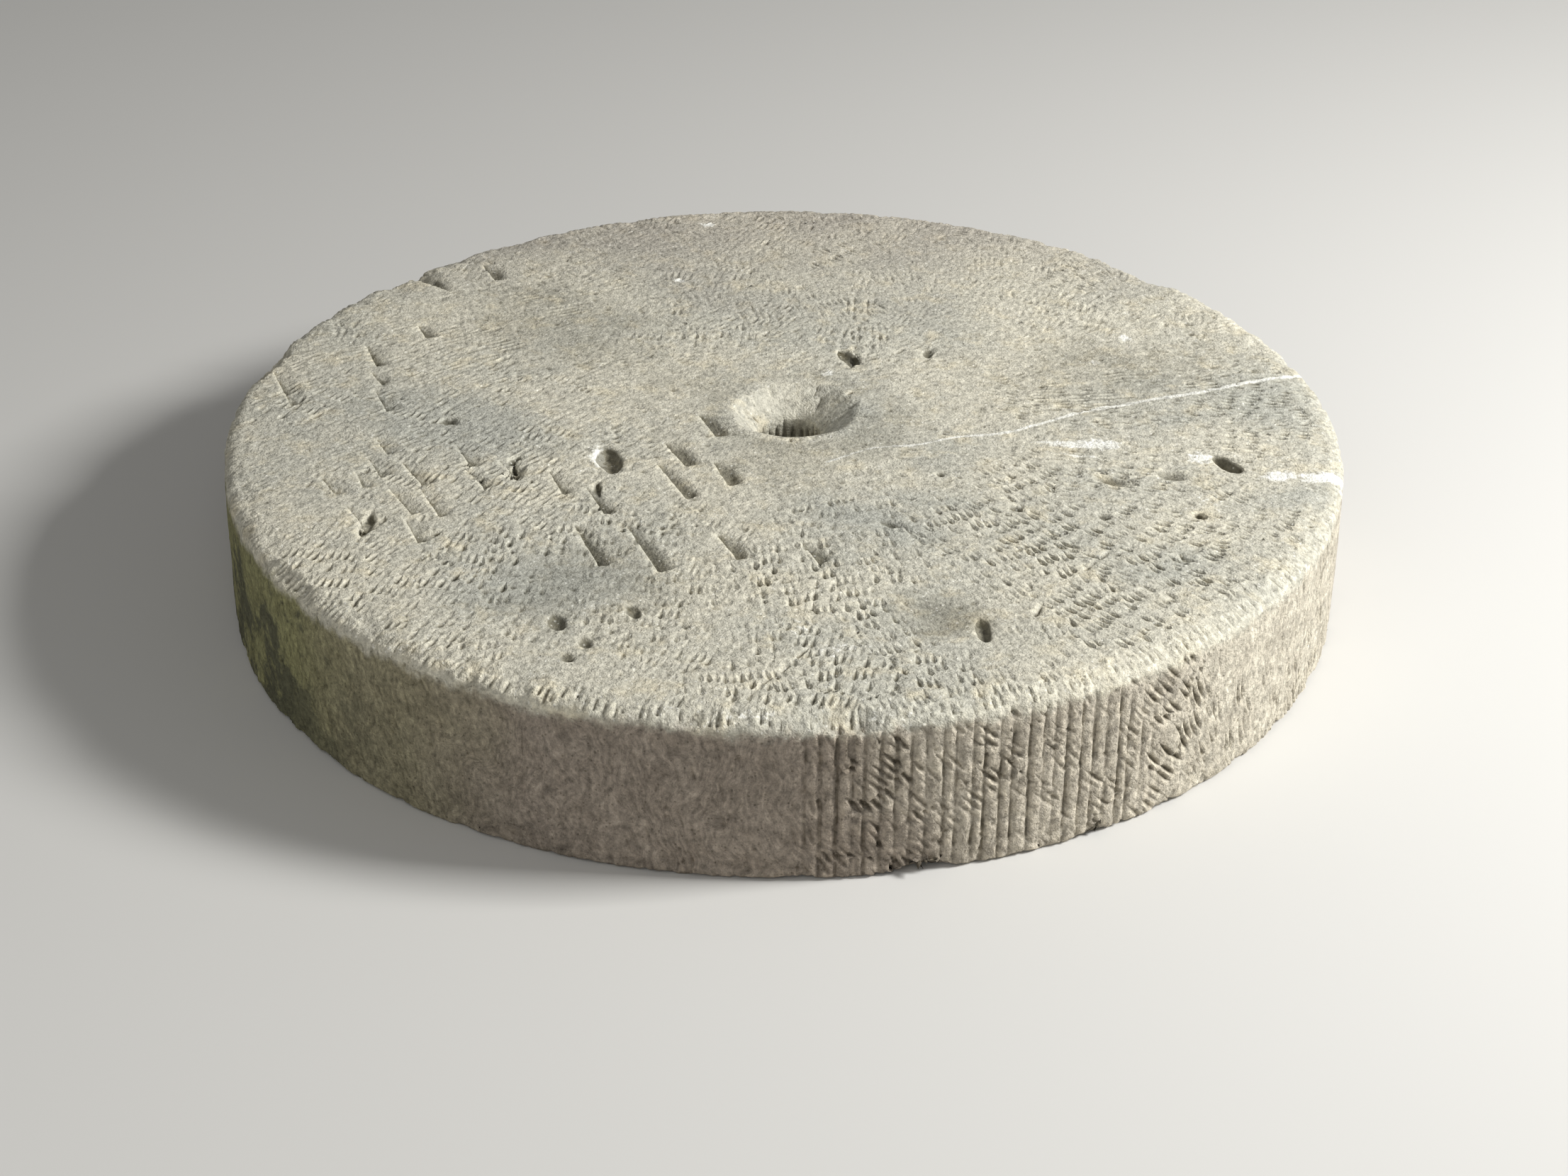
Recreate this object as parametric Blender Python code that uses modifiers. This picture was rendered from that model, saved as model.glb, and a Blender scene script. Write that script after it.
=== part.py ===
"""A round flat millstone of pale limestone, made as one solid.

The stone lies on its flat underside at z = 0, with its middle on the z axis. Its upper face is
chisel dressed and dips gently in places, with an eye cut right through it that opens upwards
into a funnel. The upper edge is worn, a notch is cut in it at the back left, and the rim keeps
the upright furrows of the chisel at the front right.
"""

import math
import random

import bmesh
import bpy
from mathutils import Matrix, Vector

# Disc, in metres
STONE_RADIUS = 0.450
STONE_THICKNESS = 0.134
EDGE_WEAR_WIDTH = 0.017
EDGE_WEAR_DROP = 0.008
FOOT_BEVEL = 0.003
ROUND_STEPS = 120
FACE_RINGS = 10
EDGE_WEAR_STEPS = 3
RIM_LEVELS = 4

# The upper edge is worn most on the side that this azimuth faces, by this share more than the mean
EDGE_WEAR_SIDE = math.radians(300)
EDGE_WEAR_SWING = 0.45

# How the outline departs from a circle: lobes, share of the radius, azimuth of a crest in degrees
OUTLINE_WAVES = ((2, 0.0045, 70), (5, 0.0015, 20))

# Broad hollows of the upper face: place and reach as shares of the radius, and depth in metres
FACE_HOLLOWS = (
    (0.02, 0.08, 0.34, 0.0030),
    (0.28, -0.68, 0.11, 0.0045),
    (-0.36, -0.60, 0.20, 0.0020),
    (-0.45, 0.38, 0.25, 0.0020),
    (0.58, 0.28, 0.28, 0.0020),
)
FACE_SWELL = 0.0010

# Eye and its funnel, whose mouth lies a little to one side of the eye
EYE_RADIUS = 0.026
EYE_PLACE = (0.003, 0.034)
FUNNEL_SHIFT = 0.007
FUNNEL_RADIUS = 0.056
FUNNEL_DEPTH = 0.025
FUNNEL_RINGS = 4
EYE_STEPS = 40
EYE_WAVES = ((2, 0.030, 35), (3, 0.025, 80), (7, 0.012, 10))

# Notch in the upper edge: a groove that deepens outwards, steep on one side and sloping on the other
NOTCH_AZIMUTH = math.radians(138.6)
NOTCH_LENGTH = 0.070
NOTCH_DEPTH = 0.016
NOTCH_STEEP_WIDTH = 0.005
NOTCH_SLOPE_WIDTH = 0.028
NOTCH_STEPS = 6
NOTCH_ROUGHNESS = 0.0009

# Cuts of a flat chisel: start as shares of the radius, then length in metres
GOUGE_WIDTH = 0.014
GOUGE_DEPTH = 0.0062
GOUGE_LEAN = 0.0020
GOUGE_START_RISE = 0.10
GOUGE_HEADING = math.radians(-66)
GOUGE_TURN = math.radians(6)
GOUGES = (
    (-0.948, 0.211, 0.044),
    (-0.917, 0.129, 0.028),
    (-0.790, 0.327, 0.040),
    (-0.769, 0.213, 0.024),
    (-0.753, 0.141, 0.044),
    (-0.702, 0.421, 0.024),
    (-0.605, 0.714, 0.034),
    (-0.803, -0.219, 0.029),
    (-0.744, -0.198, 0.024),
    (-0.730, -0.142, 0.031),
    (-0.726, -0.065, 0.028),
    (-0.747, -0.321, 0.041),
    (-0.684, -0.249, 0.048),
    (-0.670, -0.157, 0.041),
    (-0.643, -0.361, 0.038),
    (-0.629, -0.248, 0.050),
    (-0.582, -0.084, 0.038),
    (-0.556, -0.176, 0.034),
    (-0.502, -0.140, 0.029),
    (-0.412, -0.175, 0.040),
    (-0.356, -0.369, 0.066),
    (-0.342, -0.236, 0.045),
    (-0.267, -0.368, 0.078),
    (-0.224, -0.143, 0.062),
    (-0.214, -0.061, 0.043),
    (-0.155, 0.052, 0.040),
    (-0.125, -0.132, 0.041),
    (-0.114, -0.400, 0.042),
    (0.029, -0.427, 0.033),
)

# Pits: place as shares of the radius, then length, width and depth in metres, and heading in degrees
PITS = (
    (-0.605, 0.007, 0.016, 0.013, 0.0060, 0),
    (-0.308, -0.134, 0.048, 0.022, 0.0085, -80),
    (0.779, -0.136, 0.036, 0.016, 0.0110, -57),
    (0.572, -0.200, 0.030, 0.018, 0.0045, -20),
    (0.674, -0.178, 0.026, 0.018, 0.0040, -20),
    (0.708, -0.331, 0.014, 0.010, 0.0050, -50),
    (0.544, -0.337, 0.014, 0.010, 0.0045, -50),
    (0.396, -0.307, 0.012, 0.009, 0.0050, -40),
    (0.272, -0.181, 0.010, 0.007, 0.0040, -60),
    (0.180, -0.365, 0.024, 0.008, 0.0035, -30),
    (0.118, 0.292, 0.032, 0.014, 0.0060, -62),
    (0.268, 0.314, 0.020, 0.010, 0.0040, -95),
    (-0.364, -0.700, 0.026, 0.014, 0.0045, -75),
    (-0.314, -0.768, 0.018, 0.012, 0.0040, -75),
    (-0.241, -0.667, 0.022, 0.012, 0.0040, -75),
    (-0.339, -0.813, 0.016, 0.012, 0.0040, -75),
    (0.320, -0.715, 0.040, 0.012, 0.0050, -85),
)
PIT_ROUGHNESS = 0.12

# Upright furrows on the rim
FURROW_FIRST = math.radians(272)
FURROW_LAST = math.radians(307)
FURROW_PITCH = 0.0108
FURROW_WIDTH = 0.0050
FURROW_DEPTH = 0.0019

# Flakes broken from the upper and the lower edge: azimuth in degrees, width and depth in metres
UPPER_FLAKES = (
    (45, 0.100, 0.009),
    (141, 0.046, 0.007),
    (166, 0.080, 0.006),
    (215, 0.090, 0.005),
    (262, 0.060, 0.005),
    (276, 0.064, 0.008),
)
LOWER_FLAKES = ((270, 0.014, 0.003), (282.5, 0.044, 0.006), (301, 0.020, 0.003))
UPPER_FLAKE_REACH = 2.2
UPPER_FLAKE_TILT = math.radians(35)
LOWER_FLAKE_REACH = 3.0
FLAKE_ROUGHNESS = 0.06

# Cutters reach this far past the surface that they cut
CUT_MARGIN = 0.010
SEED = 7
STONE_COLOUR = (0.46, 0.42, 0.33, 1.0)


def wave(waves, azimuth):
    """Sum of lobes round a circle, as a share of its radius."""
    return sum(size * math.cos(lobes * (azimuth - math.radians(crest))) for lobes, size, crest in waves)


def rim_radius(azimuth):
    return STONE_RADIUS * (1 + wave(OUTLINE_WAVES, azimuth))


def edge_wear(azimuth):
    """Width and drop of the worn upper edge at an azimuth."""
    share = 1 + EDGE_WEAR_SWING * math.cos(azimuth - EDGE_WEAR_SIDE)
    return EDGE_WEAR_WIDTH * share, EDGE_WEAR_DROP * share


def face_height(x, y):
    """Height of the upper face above the underside."""
    u = x / STONE_RADIUS
    v = y / STONE_RADIUS
    swell = FACE_SWELL * (math.sin(5.1 * u + 1.7 * v) + math.sin(4.3 * v - 2.9 * u)) / 2
    dips = sum(
        depth * math.exp(-((u - cx) ** 2 + (v - cy) ** 2) / reach**2)
        for cx, cy, reach, depth in FACE_HOLLOWS
    )
    return STONE_THICKNESS - FACE_SWELL + swell - dips


def on_face(u, v):
    """Point of the upper face at a place given as shares of the radius."""
    x = u * STONE_RADIUS
    y = v * STONE_RADIUS
    return Vector((x, y, face_height(x, y)))


def clear_scene():
    for obj in list(bpy.data.objects):
        bpy.data.objects.remove(obj, do_unlink=True)


def new_collection(name):
    collection = bpy.data.collections.new(name)
    bpy.context.scene.collection.children.link(collection)
    return collection


def mesh_object(name, bm, collection):
    mesh = bpy.data.meshes.new(name)
    bm.to_mesh(mesh)
    bm.free()
    obj = bpy.data.objects.new(name, mesh)
    collection.objects.link(obj)
    return obj


def as_cutter(obj):
    obj.hide_render = True
    obj.display_type = "WIRE"
    return obj


def turned(name, profile, steps, collection):
    """A closed surface turned about the z axis from a profile that runs down its outer side."""
    bm = bmesh.new()
    verts = [bm.verts.new((r, 0, z)) for r, z in profile]
    for a, b in zip(verts, verts[1:]):
        bm.edges.new((a, b))
    guide = mesh_object(name + "_profile", bm, collection)
    screw = guide.modifiers.new("turn", "SCREW")
    screw.axis = "Z"
    screw.steps = steps
    screw.render_steps = steps
    screw.use_merge_vertices = True
    screw.merge_threshold = 0.00001
    depsgraph = bpy.context.evaluated_depsgraph_get()
    mesh = bpy.data.meshes.new_from_object(guide.evaluated_get(depsgraph))
    mesh.name = name
    bpy.data.objects.remove(guide, do_unlink=True)
    obj = bpy.data.objects.new(name, mesh)
    collection.objects.link(obj)
    return obj


def disc_profile():
    """Half section of the stone, from the middle of the face out, over the edge and down the rim."""
    level = STONE_THICKNESS
    flat = STONE_RADIUS - EDGE_WEAR_WIDTH
    points = [(flat * ring / FACE_RINGS, level) for ring in range(FACE_RINGS + 1)]
    for step in range(1, EDGE_WEAR_STEPS + 1):
        turn = math.pi / 2 * step / EDGE_WEAR_STEPS
        r = flat + EDGE_WEAR_WIDTH * math.sin(turn)
        points.append((r, level - EDGE_WEAR_DROP * (1 - math.cos(turn))))
    top = level - EDGE_WEAR_DROP
    for step in range(1, RIM_LEVELS + 1):
        points.append((STONE_RADIUS, top + (FOOT_BEVEL - top) * step / RIM_LEVELS))
    points += [(STONE_RADIUS - FOOT_BEVEL, 0), (0, 0)]
    return points


def hewn_point(point):
    """Moves a point of the true turned disc to where the hand-cut stone has it."""
    r = math.hypot(point.x, point.y)
    azimuth = math.atan2(point.y, point.x)
    outer = rim_radius(azimuth)
    width, drop = edge_wear(azimuth)
    flat = STONE_RADIUS - EDGE_WEAR_WIDTH
    edge = outer - width
    shoulder = face_height(edge * math.cos(azimuth), edge * math.sin(azimuth))
    if point.z <= 0:
        new_r = r * (outer - FOOT_BEVEL) / (STONE_RADIUS - FOOT_BEVEL)
    elif r > flat:
        new_r = outer - (STONE_RADIUS - r) * width / EDGE_WEAR_WIDTH
    else:
        new_r = r * edge / flat
    x = new_r * math.cos(azimuth)
    y = new_r * math.sin(azimuth)
    sunk = (STONE_THICKNESS - point.z) / EDGE_WEAR_DROP
    if point.z <= 0:
        z = 0.0
    elif r <= flat:
        z = face_height(x, y)
    elif sunk <= 1:
        z = shoulder - drop * sunk
    else:
        z = point.z * (shoulder - drop) / (STONE_THICKNESS - EDGE_WEAR_DROP)
    return Vector((x, y, z))


def make_disc(collection):
    disc = turned("millstone", disc_profile(), ROUND_STEPS, collection)
    for vertex in disc.data.vertices:
        vertex.co = hewn_point(vertex.co)
    disc.data.shade_smooth()
    disc.data.set_sharp_from_angle(angle=math.radians(35))
    return disc


def eye_cutter(collection):
    """The eye's shaft with its funnel, a little out of round."""
    x, y = EYE_PLACE
    top = face_height(x, y) + CUT_MARGIN
    mouth = STONE_THICKNESS - FUNNEL_DEPTH
    flare = FUNNEL_RADIUS - EYE_RADIUS
    lip = EYE_RADIUS + flare * (top - mouth) / FUNNEL_DEPTH
    profile = [(0, top), (lip, top)]
    for ring in range(1, FUNNEL_RINGS + 1):
        share = 1 - ring / FUNNEL_RINGS
        profile.append((EYE_RADIUS + flare * share**1.25, mouth + FUNNEL_DEPTH * share))
    profile += [(EYE_RADIUS, mouth / 2), (EYE_RADIUS, -CUT_MARGIN), (0, -CUT_MARGIN)]
    cutter = turned("eye_cutter", profile, EYE_STEPS, collection)
    for vertex in cutter.data.vertices:
        swell = 1 + wave(EYE_WAVES, math.atan2(vertex.co.y, vertex.co.x))
        flared = max(0.0, vertex.co.z - mouth) / FUNNEL_DEPTH
        vertex.co.x = vertex.co.x * swell + FUNNEL_SHIFT * flared
        vertex.co.y *= swell
    cutter.location = (x, y, 0)
    return as_cutter(cutter)


def lump(name, size, place, rough, rng, collection, detail=2):
    """A rough rounded cutter of a given length, width and height, turned by a matrix in place."""
    bm = bmesh.new()
    bmesh.ops.create_icosphere(bm, subdivisions=detail, radius=0.5)
    for vertex in bm.verts:
        vertex.co *= 1 + rng.uniform(-rough, rough)
    bmesh.ops.transform(bm, matrix=Matrix.Diagonal((*size, 1)), verts=bm.verts)
    cutter = mesh_object(name, bm, collection)
    cutter.matrix_world = place
    return as_cutter(cutter)


def notch_section(share):
    """Corners of the notch's section, across and up, where its depth is a share of the full depth."""
    spread = max(share, 0.0) + 0.06
    sunk = NOTCH_DEPTH * share
    slope = NOTCH_SLOPE_WIDTH * spread
    steep = NOTCH_STEEP_WIDTH * spread
    return (
        (2 * steep, CUT_MARGIN),
        (steep, 0.0),
        (0.0, -sunk),
        (-0.55 * slope, -0.42 * sunk),
        (-slope, -0.10 * sunk),
        (-1.5 * slope, NOTCH_ROUGHNESS * 3),
        (-1.5 * slope, CUT_MARGIN),
    )


def notch_cutter(collection, rng):
    """A rough wedge that lies radially, with its keel sinking towards the rim."""
    sections = {share: notch_section(share) for share in (-0.05, 1.15)}
    sides = len(sections[1.15])
    bm = bmesh.new()
    bmesh.ops.create_cone(bm, cap_ends=True, segments=sides, radius1=1.0, radius2=1.0, depth=2.0)
    lengthwise = [edge for edge in bm.edges if edge.verts[0].co.z * edge.verts[1].co.z < 0]
    for vertex in bm.verts:
        share = 1.15 if vertex.co.z > 0 else -0.05
        corner = round(math.atan2(vertex.co.x, vertex.co.y) / (2 * math.pi / sides)) % sides
        vertex.co = Vector((NOTCH_LENGTH * (share - 1), *sections[share][corner]))
    bmesh.ops.subdivide_edges(bm, edges=lengthwise, cuts=NOTCH_STEPS)
    for vertex in bm.verts:
        if vertex.co.z < CUT_MARGIN / 2:
            vertex.co.y += rng.uniform(-NOTCH_ROUGHNESS, NOTCH_ROUGHNESS)
            vertex.co.z += rng.uniform(-NOTCH_ROUGHNESS, NOTCH_ROUGHNESS)
    bmesh.ops.recalc_face_normals(bm, faces=bm.faces)
    bmesh.ops.triangulate(bm, faces=bm.faces)
    cutter = mesh_object("notch_cutter", bm, collection)
    edge = rim_radius(NOTCH_AZIMUTH)
    spot = (edge * math.cos(NOTCH_AZIMUTH), edge * math.sin(NOTCH_AZIMUTH), STONE_THICKNESS)
    cutter.matrix_world = Matrix.Translation(spot) @ Matrix.Rotation(NOTCH_AZIMUTH, 4, "Z")
    return as_cutter(cutter)


def gouge_cutter(index, start, length, heading, collection):
    """A wedge with one steep wall along the cut, whose floor sinks towards its far end."""
    bm = bmesh.new()
    bmesh.ops.create_cube(bm, size=1.0)
    for vertex in bm.verts:
        along = vertex.co.x + 0.5
        across = vertex.co.y + 0.5
        if vertex.co.z > 0:
            z = CUT_MARGIN
            lean = GOUGE_LEAN
        else:
            z = GOUGE_DEPTH * (GOUGE_START_RISE - (1 + GOUGE_START_RISE) * along * (1 - across))
            lean = 0.0
        x = length * along + lean * (2 * along - 1)
        y = GOUGE_WIDTH * across + lean * (2 * across - 1)
        vertex.co = Vector((x, y, z))
    bmesh.ops.recalc_face_normals(bm, faces=bm.faces)
    cutter = mesh_object(f"gouge_cutter_{index:02d}", bm, collection)
    cutter.matrix_world = Matrix.Translation(start) @ Matrix.Rotation(heading, 4, "Z")
    return as_cutter(cutter)


def gouge_cutters(collection, rng):
    for index, (u, v, length) in enumerate(GOUGES):
        heading = GOUGE_HEADING + rng.uniform(-GOUGE_TURN, GOUGE_TURN)
        gouge_cutter(index, on_face(u, v), length, heading, collection)


def pit_cutters(collection, rng):
    for index, (u, v, length, width, depth, heading) in enumerate(PITS):
        place = Matrix.Translation(on_face(u, v)) @ Matrix.Rotation(math.radians(heading), 4, "Z")
        size = (length, width, 2 * depth)
        lump(f"pit_cutter_{index:02d}", size, place, PIT_ROUGHNESS, rng, collection)


def furrow_cutters(collection, rng):
    """Upright V grooves side by side round the front right of the rim."""
    count = int((FURROW_LAST - FURROW_FIRST) * STONE_RADIUS / FURROW_PITCH) + 1
    step = FURROW_PITCH / STONE_RADIUS
    for index in range(count):
        azimuth = FURROW_FIRST + (index + rng.uniform(-0.15, 0.15)) * step
        depth = FURROW_DEPTH * rng.uniform(0.45, 1.1)
        reach = depth + CUT_MARGIN
        breadth = FURROW_WIDTH / depth * reach
        height = STONE_THICKNESS + 2 * CUT_MARGIN
        bm = bmesh.new()
        bmesh.ops.create_cone(
            bm, cap_ends=True, segments=4, radius1=1.0, radius2=1.0, depth=height
        )
        bmesh.ops.transform(bm, matrix=Matrix.Diagonal((reach, breadth / 2, 1, 1)), verts=bm.verts)
        cutter = mesh_object(f"furrow_cutter_{index:02d}", bm, collection)
        out = rim_radius(azimuth) + CUT_MARGIN
        cutter.location = (out * math.cos(azimuth), out * math.sin(azimuth), STONE_THICKNESS / 2)
        cutter.rotation_euler.z = azimuth
        as_cutter(cutter)


def flake_cutters(collection, rng):
    """Shallow scoops along the worn upper edge and the lower arris."""
    for index, (degrees, width, depth) in enumerate(UPPER_FLAKES):
        azimuth = math.radians(degrees)
        wear, drop = edge_wear(azimuth)
        r = rim_radius(azimuth) - wear / 4
        spot = (r * math.cos(azimuth), r * math.sin(azimuth), STONE_THICKNESS - drop / 4)
        turn = Matrix.Rotation(azimuth, 4, "Z") @ Matrix.Rotation(UPPER_FLAKE_TILT, 4, "Y")
        size = (UPPER_FLAKE_REACH * wear, width, 2 * depth)
        place = Matrix.Translation(spot) @ turn
        lump(f"upper_flake_{index}", size, place, FLAKE_ROUGHNESS, rng, collection)
    for index, (degrees, width, depth) in enumerate(LOWER_FLAKES):
        azimuth = math.radians(degrees)
        r = rim_radius(azimuth)
        spot = (r * math.cos(azimuth), r * math.sin(azimuth), 0)
        size = (LOWER_FLAKE_REACH * depth, width, 2 * depth)
        place = Matrix.Translation(spot) @ Matrix.Rotation(azimuth, 4, "Z")
        lump(f"lower_flake_{index}", size, place, FLAKE_ROUGHNESS, rng, collection)


def stone_material():
    material = bpy.data.materials.new("limestone")
    material.use_nodes = True
    shader = material.node_tree.nodes["Principled BSDF"]
    shader.inputs["Base Color"].default_value = STONE_COLOUR
    shader.inputs["Roughness"].default_value = 0.92
    shader.inputs["Metallic"].default_value = 0.0
    return material


def main():
    clear_scene()
    stone = new_collection("millstone")
    cutters = new_collection("cutters")
    rng = random.Random(SEED)
    disc = make_disc(stone)
    disc.data.materials.append(stone_material())
    eye_cutter(cutters)
    notch_cutter(cutters, rng)
    gouge_cutters(cutters, rng)
    pit_cutters(cutters, rng)
    furrow_cutters(cutters, rng)
    flake_cutters(cutters, rng)
    cut = disc.modifiers.new("cuts", "BOOLEAN")
    cut.operation = "DIFFERENCE"
    cut.solver = "EXACT"
    cut.operand_type = "COLLECTION"
    cut.collection = cutters


main()
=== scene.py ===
"""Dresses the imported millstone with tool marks, a worn surface and weathered limestone, and stages it."""

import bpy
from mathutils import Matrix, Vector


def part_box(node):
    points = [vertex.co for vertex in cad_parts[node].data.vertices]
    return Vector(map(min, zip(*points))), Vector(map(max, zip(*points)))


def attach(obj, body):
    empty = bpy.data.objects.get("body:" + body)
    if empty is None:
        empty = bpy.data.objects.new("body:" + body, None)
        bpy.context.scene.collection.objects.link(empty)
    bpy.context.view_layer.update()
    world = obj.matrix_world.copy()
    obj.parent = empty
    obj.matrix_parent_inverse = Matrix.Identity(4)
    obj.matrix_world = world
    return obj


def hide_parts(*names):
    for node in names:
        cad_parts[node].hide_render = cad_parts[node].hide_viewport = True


bl_info = {
    "name": "Dressed Millstone",
    "version": (1, 0, 0),
    "blender": (4, 5, 0),
    "location": "View3D > Sidebar > Millstone",
    "description": "Cuts a mason's tool marks into the millstone, weathers its stone and sets the stage",
    "category": "Object",
}

import math
import random

import bmesh
import bpy
from bpy.props import FloatProperty, FloatVectorProperty, IntProperty, PointerProperty
from mathutils import Matrix, Vector

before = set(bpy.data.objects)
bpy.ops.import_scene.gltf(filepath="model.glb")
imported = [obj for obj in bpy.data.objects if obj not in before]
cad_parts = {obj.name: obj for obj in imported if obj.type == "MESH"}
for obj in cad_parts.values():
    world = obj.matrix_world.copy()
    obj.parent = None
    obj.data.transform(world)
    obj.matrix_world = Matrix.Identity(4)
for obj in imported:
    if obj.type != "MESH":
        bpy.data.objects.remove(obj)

LOW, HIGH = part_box("millstone")
RADIUS = 0.450
THICKNESS = HIGH.z
EYE_CENTRE = Vector((0.010, 0.034, 0.0))
SHAFT_CENTRE = Vector((0.003, 0.034, 0.0))
EYE_LIP = 0.056


# Sizes and colours


# What every colour setting has in common
COLOUR = {"subtype": "COLOR", "min": 0.0, "max": 1.0}


class StoneSizes(bpy.types.PropertyGroup):
    """How finely the stone is meshed, and how uneven its hewn surface is."""

    voxel: FloatProperty(
        name="Mesh Size",
        description="Distance between the points that carry the surface before it is thinned",
        default=0.0014, min=0.001, max=0.01, unit="LENGTH",
    )
    triangles: IntProperty(
        name="Triangles",
        description="Triangles that the finished stone keeps",
        default=197000, min=5000, max=199000,
    )
    hidden_triangles: IntProperty(
        name="Hidden Triangles",
        description=(
            "Triangles left on the underside, which lies on the floor, before the whole stone is thinned"
        ),
        default=16000, min=1000, max=199000,
    )
    unevenness: FloatProperty(
        name="Unevenness",
        description="Height of the broad unevenness of the hewn faces",
        default=0.0011, min=0.0, max=0.01, unit="LENGTH",
    )
    roughness: FloatProperty(
        name="Roughness",
        description="Height of the small lumps all over the stone",
        default=0.0005, min=0.0, max=0.005, unit="LENGTH",
    )
    edge_chipping: FloatProperty(
        name="Edge Chipping",
        description="Depth of the small chips along the two edges",
        default=0.0030, min=0.0, max=0.01, unit="LENGTH",
    )
    pit_depth: FloatProperty(
        name="Pit Depth",
        description="Depth of the small pits that weather has left",
        default=0.0012, min=0.0, max=0.01, unit="LENGTH",
    )


class ToolMarks(bpy.types.PropertyGroup):
    """Sizes of the marks that the mason's toothed chisel left."""

    pitch: FloatProperty(
        name="Tooth Pitch",
        description="Distance between two teeth of the chisel",
        default=0.0058, min=0.003, max=0.02, unit="LENGTH",
    )
    length: FloatProperty(
        name="Stroke Length",
        description="Length of one tooth's mark",
        default=0.0175, min=0.004, max=0.05, unit="LENGTH",
    )
    patch: FloatProperty(
        name="Patch Size",
        description="Width of a patch of the surface that was struck in one direction",
        default=0.040, min=0.01, max=0.2, unit="LENGTH",
    )
    width: FloatProperty(
        name="Stroke Width",
        description="Width of one tooth's mark at the surface",
        default=0.0044, min=0.001, max=0.01, unit="LENGTH",
    )
    depth: FloatProperty(
        name="Stroke Depth",
        description="Depth of a fresh stroke, as the mesh carries it",
        default=0.0028, min=0.0, max=0.005, unit="LENGTH",
    )
    crispness: FloatProperty(
        name="Crispness",
        description="Depth that the material adds to a fresh stroke, to sharpen its edges",
        default=0.0020, min=0.0, max=0.005, unit="LENGTH",
    )
    gouge_width: FloatProperty(
        name="Gouge Width",
        description="Width of a cut of the flat chisel",
        default=0.014, min=0.004, max=0.04, unit="LENGTH",
    )
    gouge_depth: FloatProperty(
        name="Gouge Depth",
        description="Depth of a cut of the flat chisel at its deep end",
        default=0.0062, min=0.0, max=0.009, unit="LENGTH",
    )
    furrow_width: FloatProperty(
        name="Furrow Width",
        description="Width of an upright furrow on the rim",
        default=0.0042, min=0.001, max=0.01, unit="LENGTH",
    )
    furrow_deepening: FloatProperty(
        name="Furrow Deepening",
        description="How much deeper than the packed solid's each furrow is cut",
        default=0.0005, min=0.0, max=0.005, unit="LENGTH",
    )
    teeth: IntProperty(
        name="Teeth",
        description="Teeth of the chisel, which is the number of strokes side by side",
        default=6, min=2, max=12,
    )
    seed: IntProperty(
        name="Seed",
        description="Starting number for the chance differences between strokes",
        default=11, min=0,
    )


class StoneColours(bpy.types.PropertyGroup):
    """Colours of the limestone and of what has grown or dried on it."""

    face: FloatVectorProperty(
        name="Face", description="Pale stone of the dressed face", default=(0.57, 0.54, 0.44), **COLOUR
    )
    face_grey: FloatVectorProperty(
        name="Grey Bloom",
        description="Cool grey that lies in clouds over the face",
        default=(0.40, 0.40, 0.35),
        **COLOUR,
    )
    face_brown: FloatVectorProperty(
        name="Brown Edge",
        description="Brown grey of the far side of the face",
        default=(0.36, 0.32, 0.27),
        **COLOUR,
    )
    rim_cream: FloatVectorProperty(
        name="Cream Rim",
        description="Clean stone of the rim's right side",
        default=(0.58, 0.535, 0.435),
        **COLOUR,
    )
    rim_brown: FloatVectorProperty(
        name="Brown Rim", description="Stone of the rim's front", default=(0.31, 0.265, 0.215), **COLOUR
    )
    rim_green: FloatVectorProperty(
        name="Green Rim",
        description="Green film on the rim's left side",
        default=(0.31, 0.30, 0.15),
        **COLOUR,
    )
    growth: FloatVectorProperty(
        name="Dark Growth",
        description="Blackish growth low on the rim",
        default=(0.09, 0.09, 0.06),
        **COLOUR,
    )
    lime: FloatVectorProperty(
        name="Lime",
        description="White lime in the vein and in the dried splashes",
        default=(0.86, 0.85, 0.78),
        **COLOUR,
    )


class StageLook(bpy.types.PropertyGroup):
    """Floor and light."""

    floor: FloatVectorProperty(
        name="Floor", description="Colour of the floor", default=(0.62, 0.61, 0.58), **COLOUR
    )
    key: FloatProperty(
        name="Key Light",
        description="Power of the soft light at the right, which rakes the face and the rim",
        default=144.0, min=0.0, unit="POWER",
    )
    fill: FloatProperty(
        name="Fill Light",
        description="Power of the large light at the front",
        default=26.0, min=0.0, unit="POWER",
    )
    sky: FloatProperty(
        name="Surrounding Light",
        description="Strength of the even light from all round",
        default=0.17, min=0.0,
    )


# Node helpers


def add(tree, kind, inputs=None, **settings):
    """Adds a node and gives its inputs values, or links where a value is another node's output."""
    node = tree.nodes.new(kind)
    for key, value in settings.items():
        setattr(node, key, value)
    for key, value in (inputs or {}).items():
        socket = node.inputs[key]
        if isinstance(value, bpy.types.NodeSocket):
            tree.links.new(value, socket)
        else:
            socket.default_value = value
    return node


def tree_of(*values):
    """The node tree that the first node output among these values is in."""
    return next(value.id_data for value in values if isinstance(value, bpy.types.NodeSocket))


def calc(operation, *values):
    return add(tree_of(*values), "ShaderNodeMath", dict(enumerate(values)), operation=operation).outputs[0]


def plus(a, b):
    return calc("ADD", a, b)


def minus(a, b):
    return calc("SUBTRACT", a, b)


def times(a, b):
    return calc("MULTIPLY", a, b)


def swing(value, reach):
    """Turns a number from 0 to 1 into one that swings about 0, over a reach in all."""
    return times(minus(value, 0.5), reach)


def vector_calc(operation, *values):
    node = add(tree_of(*values), "ShaderNodeVectorMath", dict(enumerate(values)), operation=operation)
    return node.outputs["Value" if operation in {"DOT_PRODUCT", "LENGTH", "DISTANCE"} else "Vector"]


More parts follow.
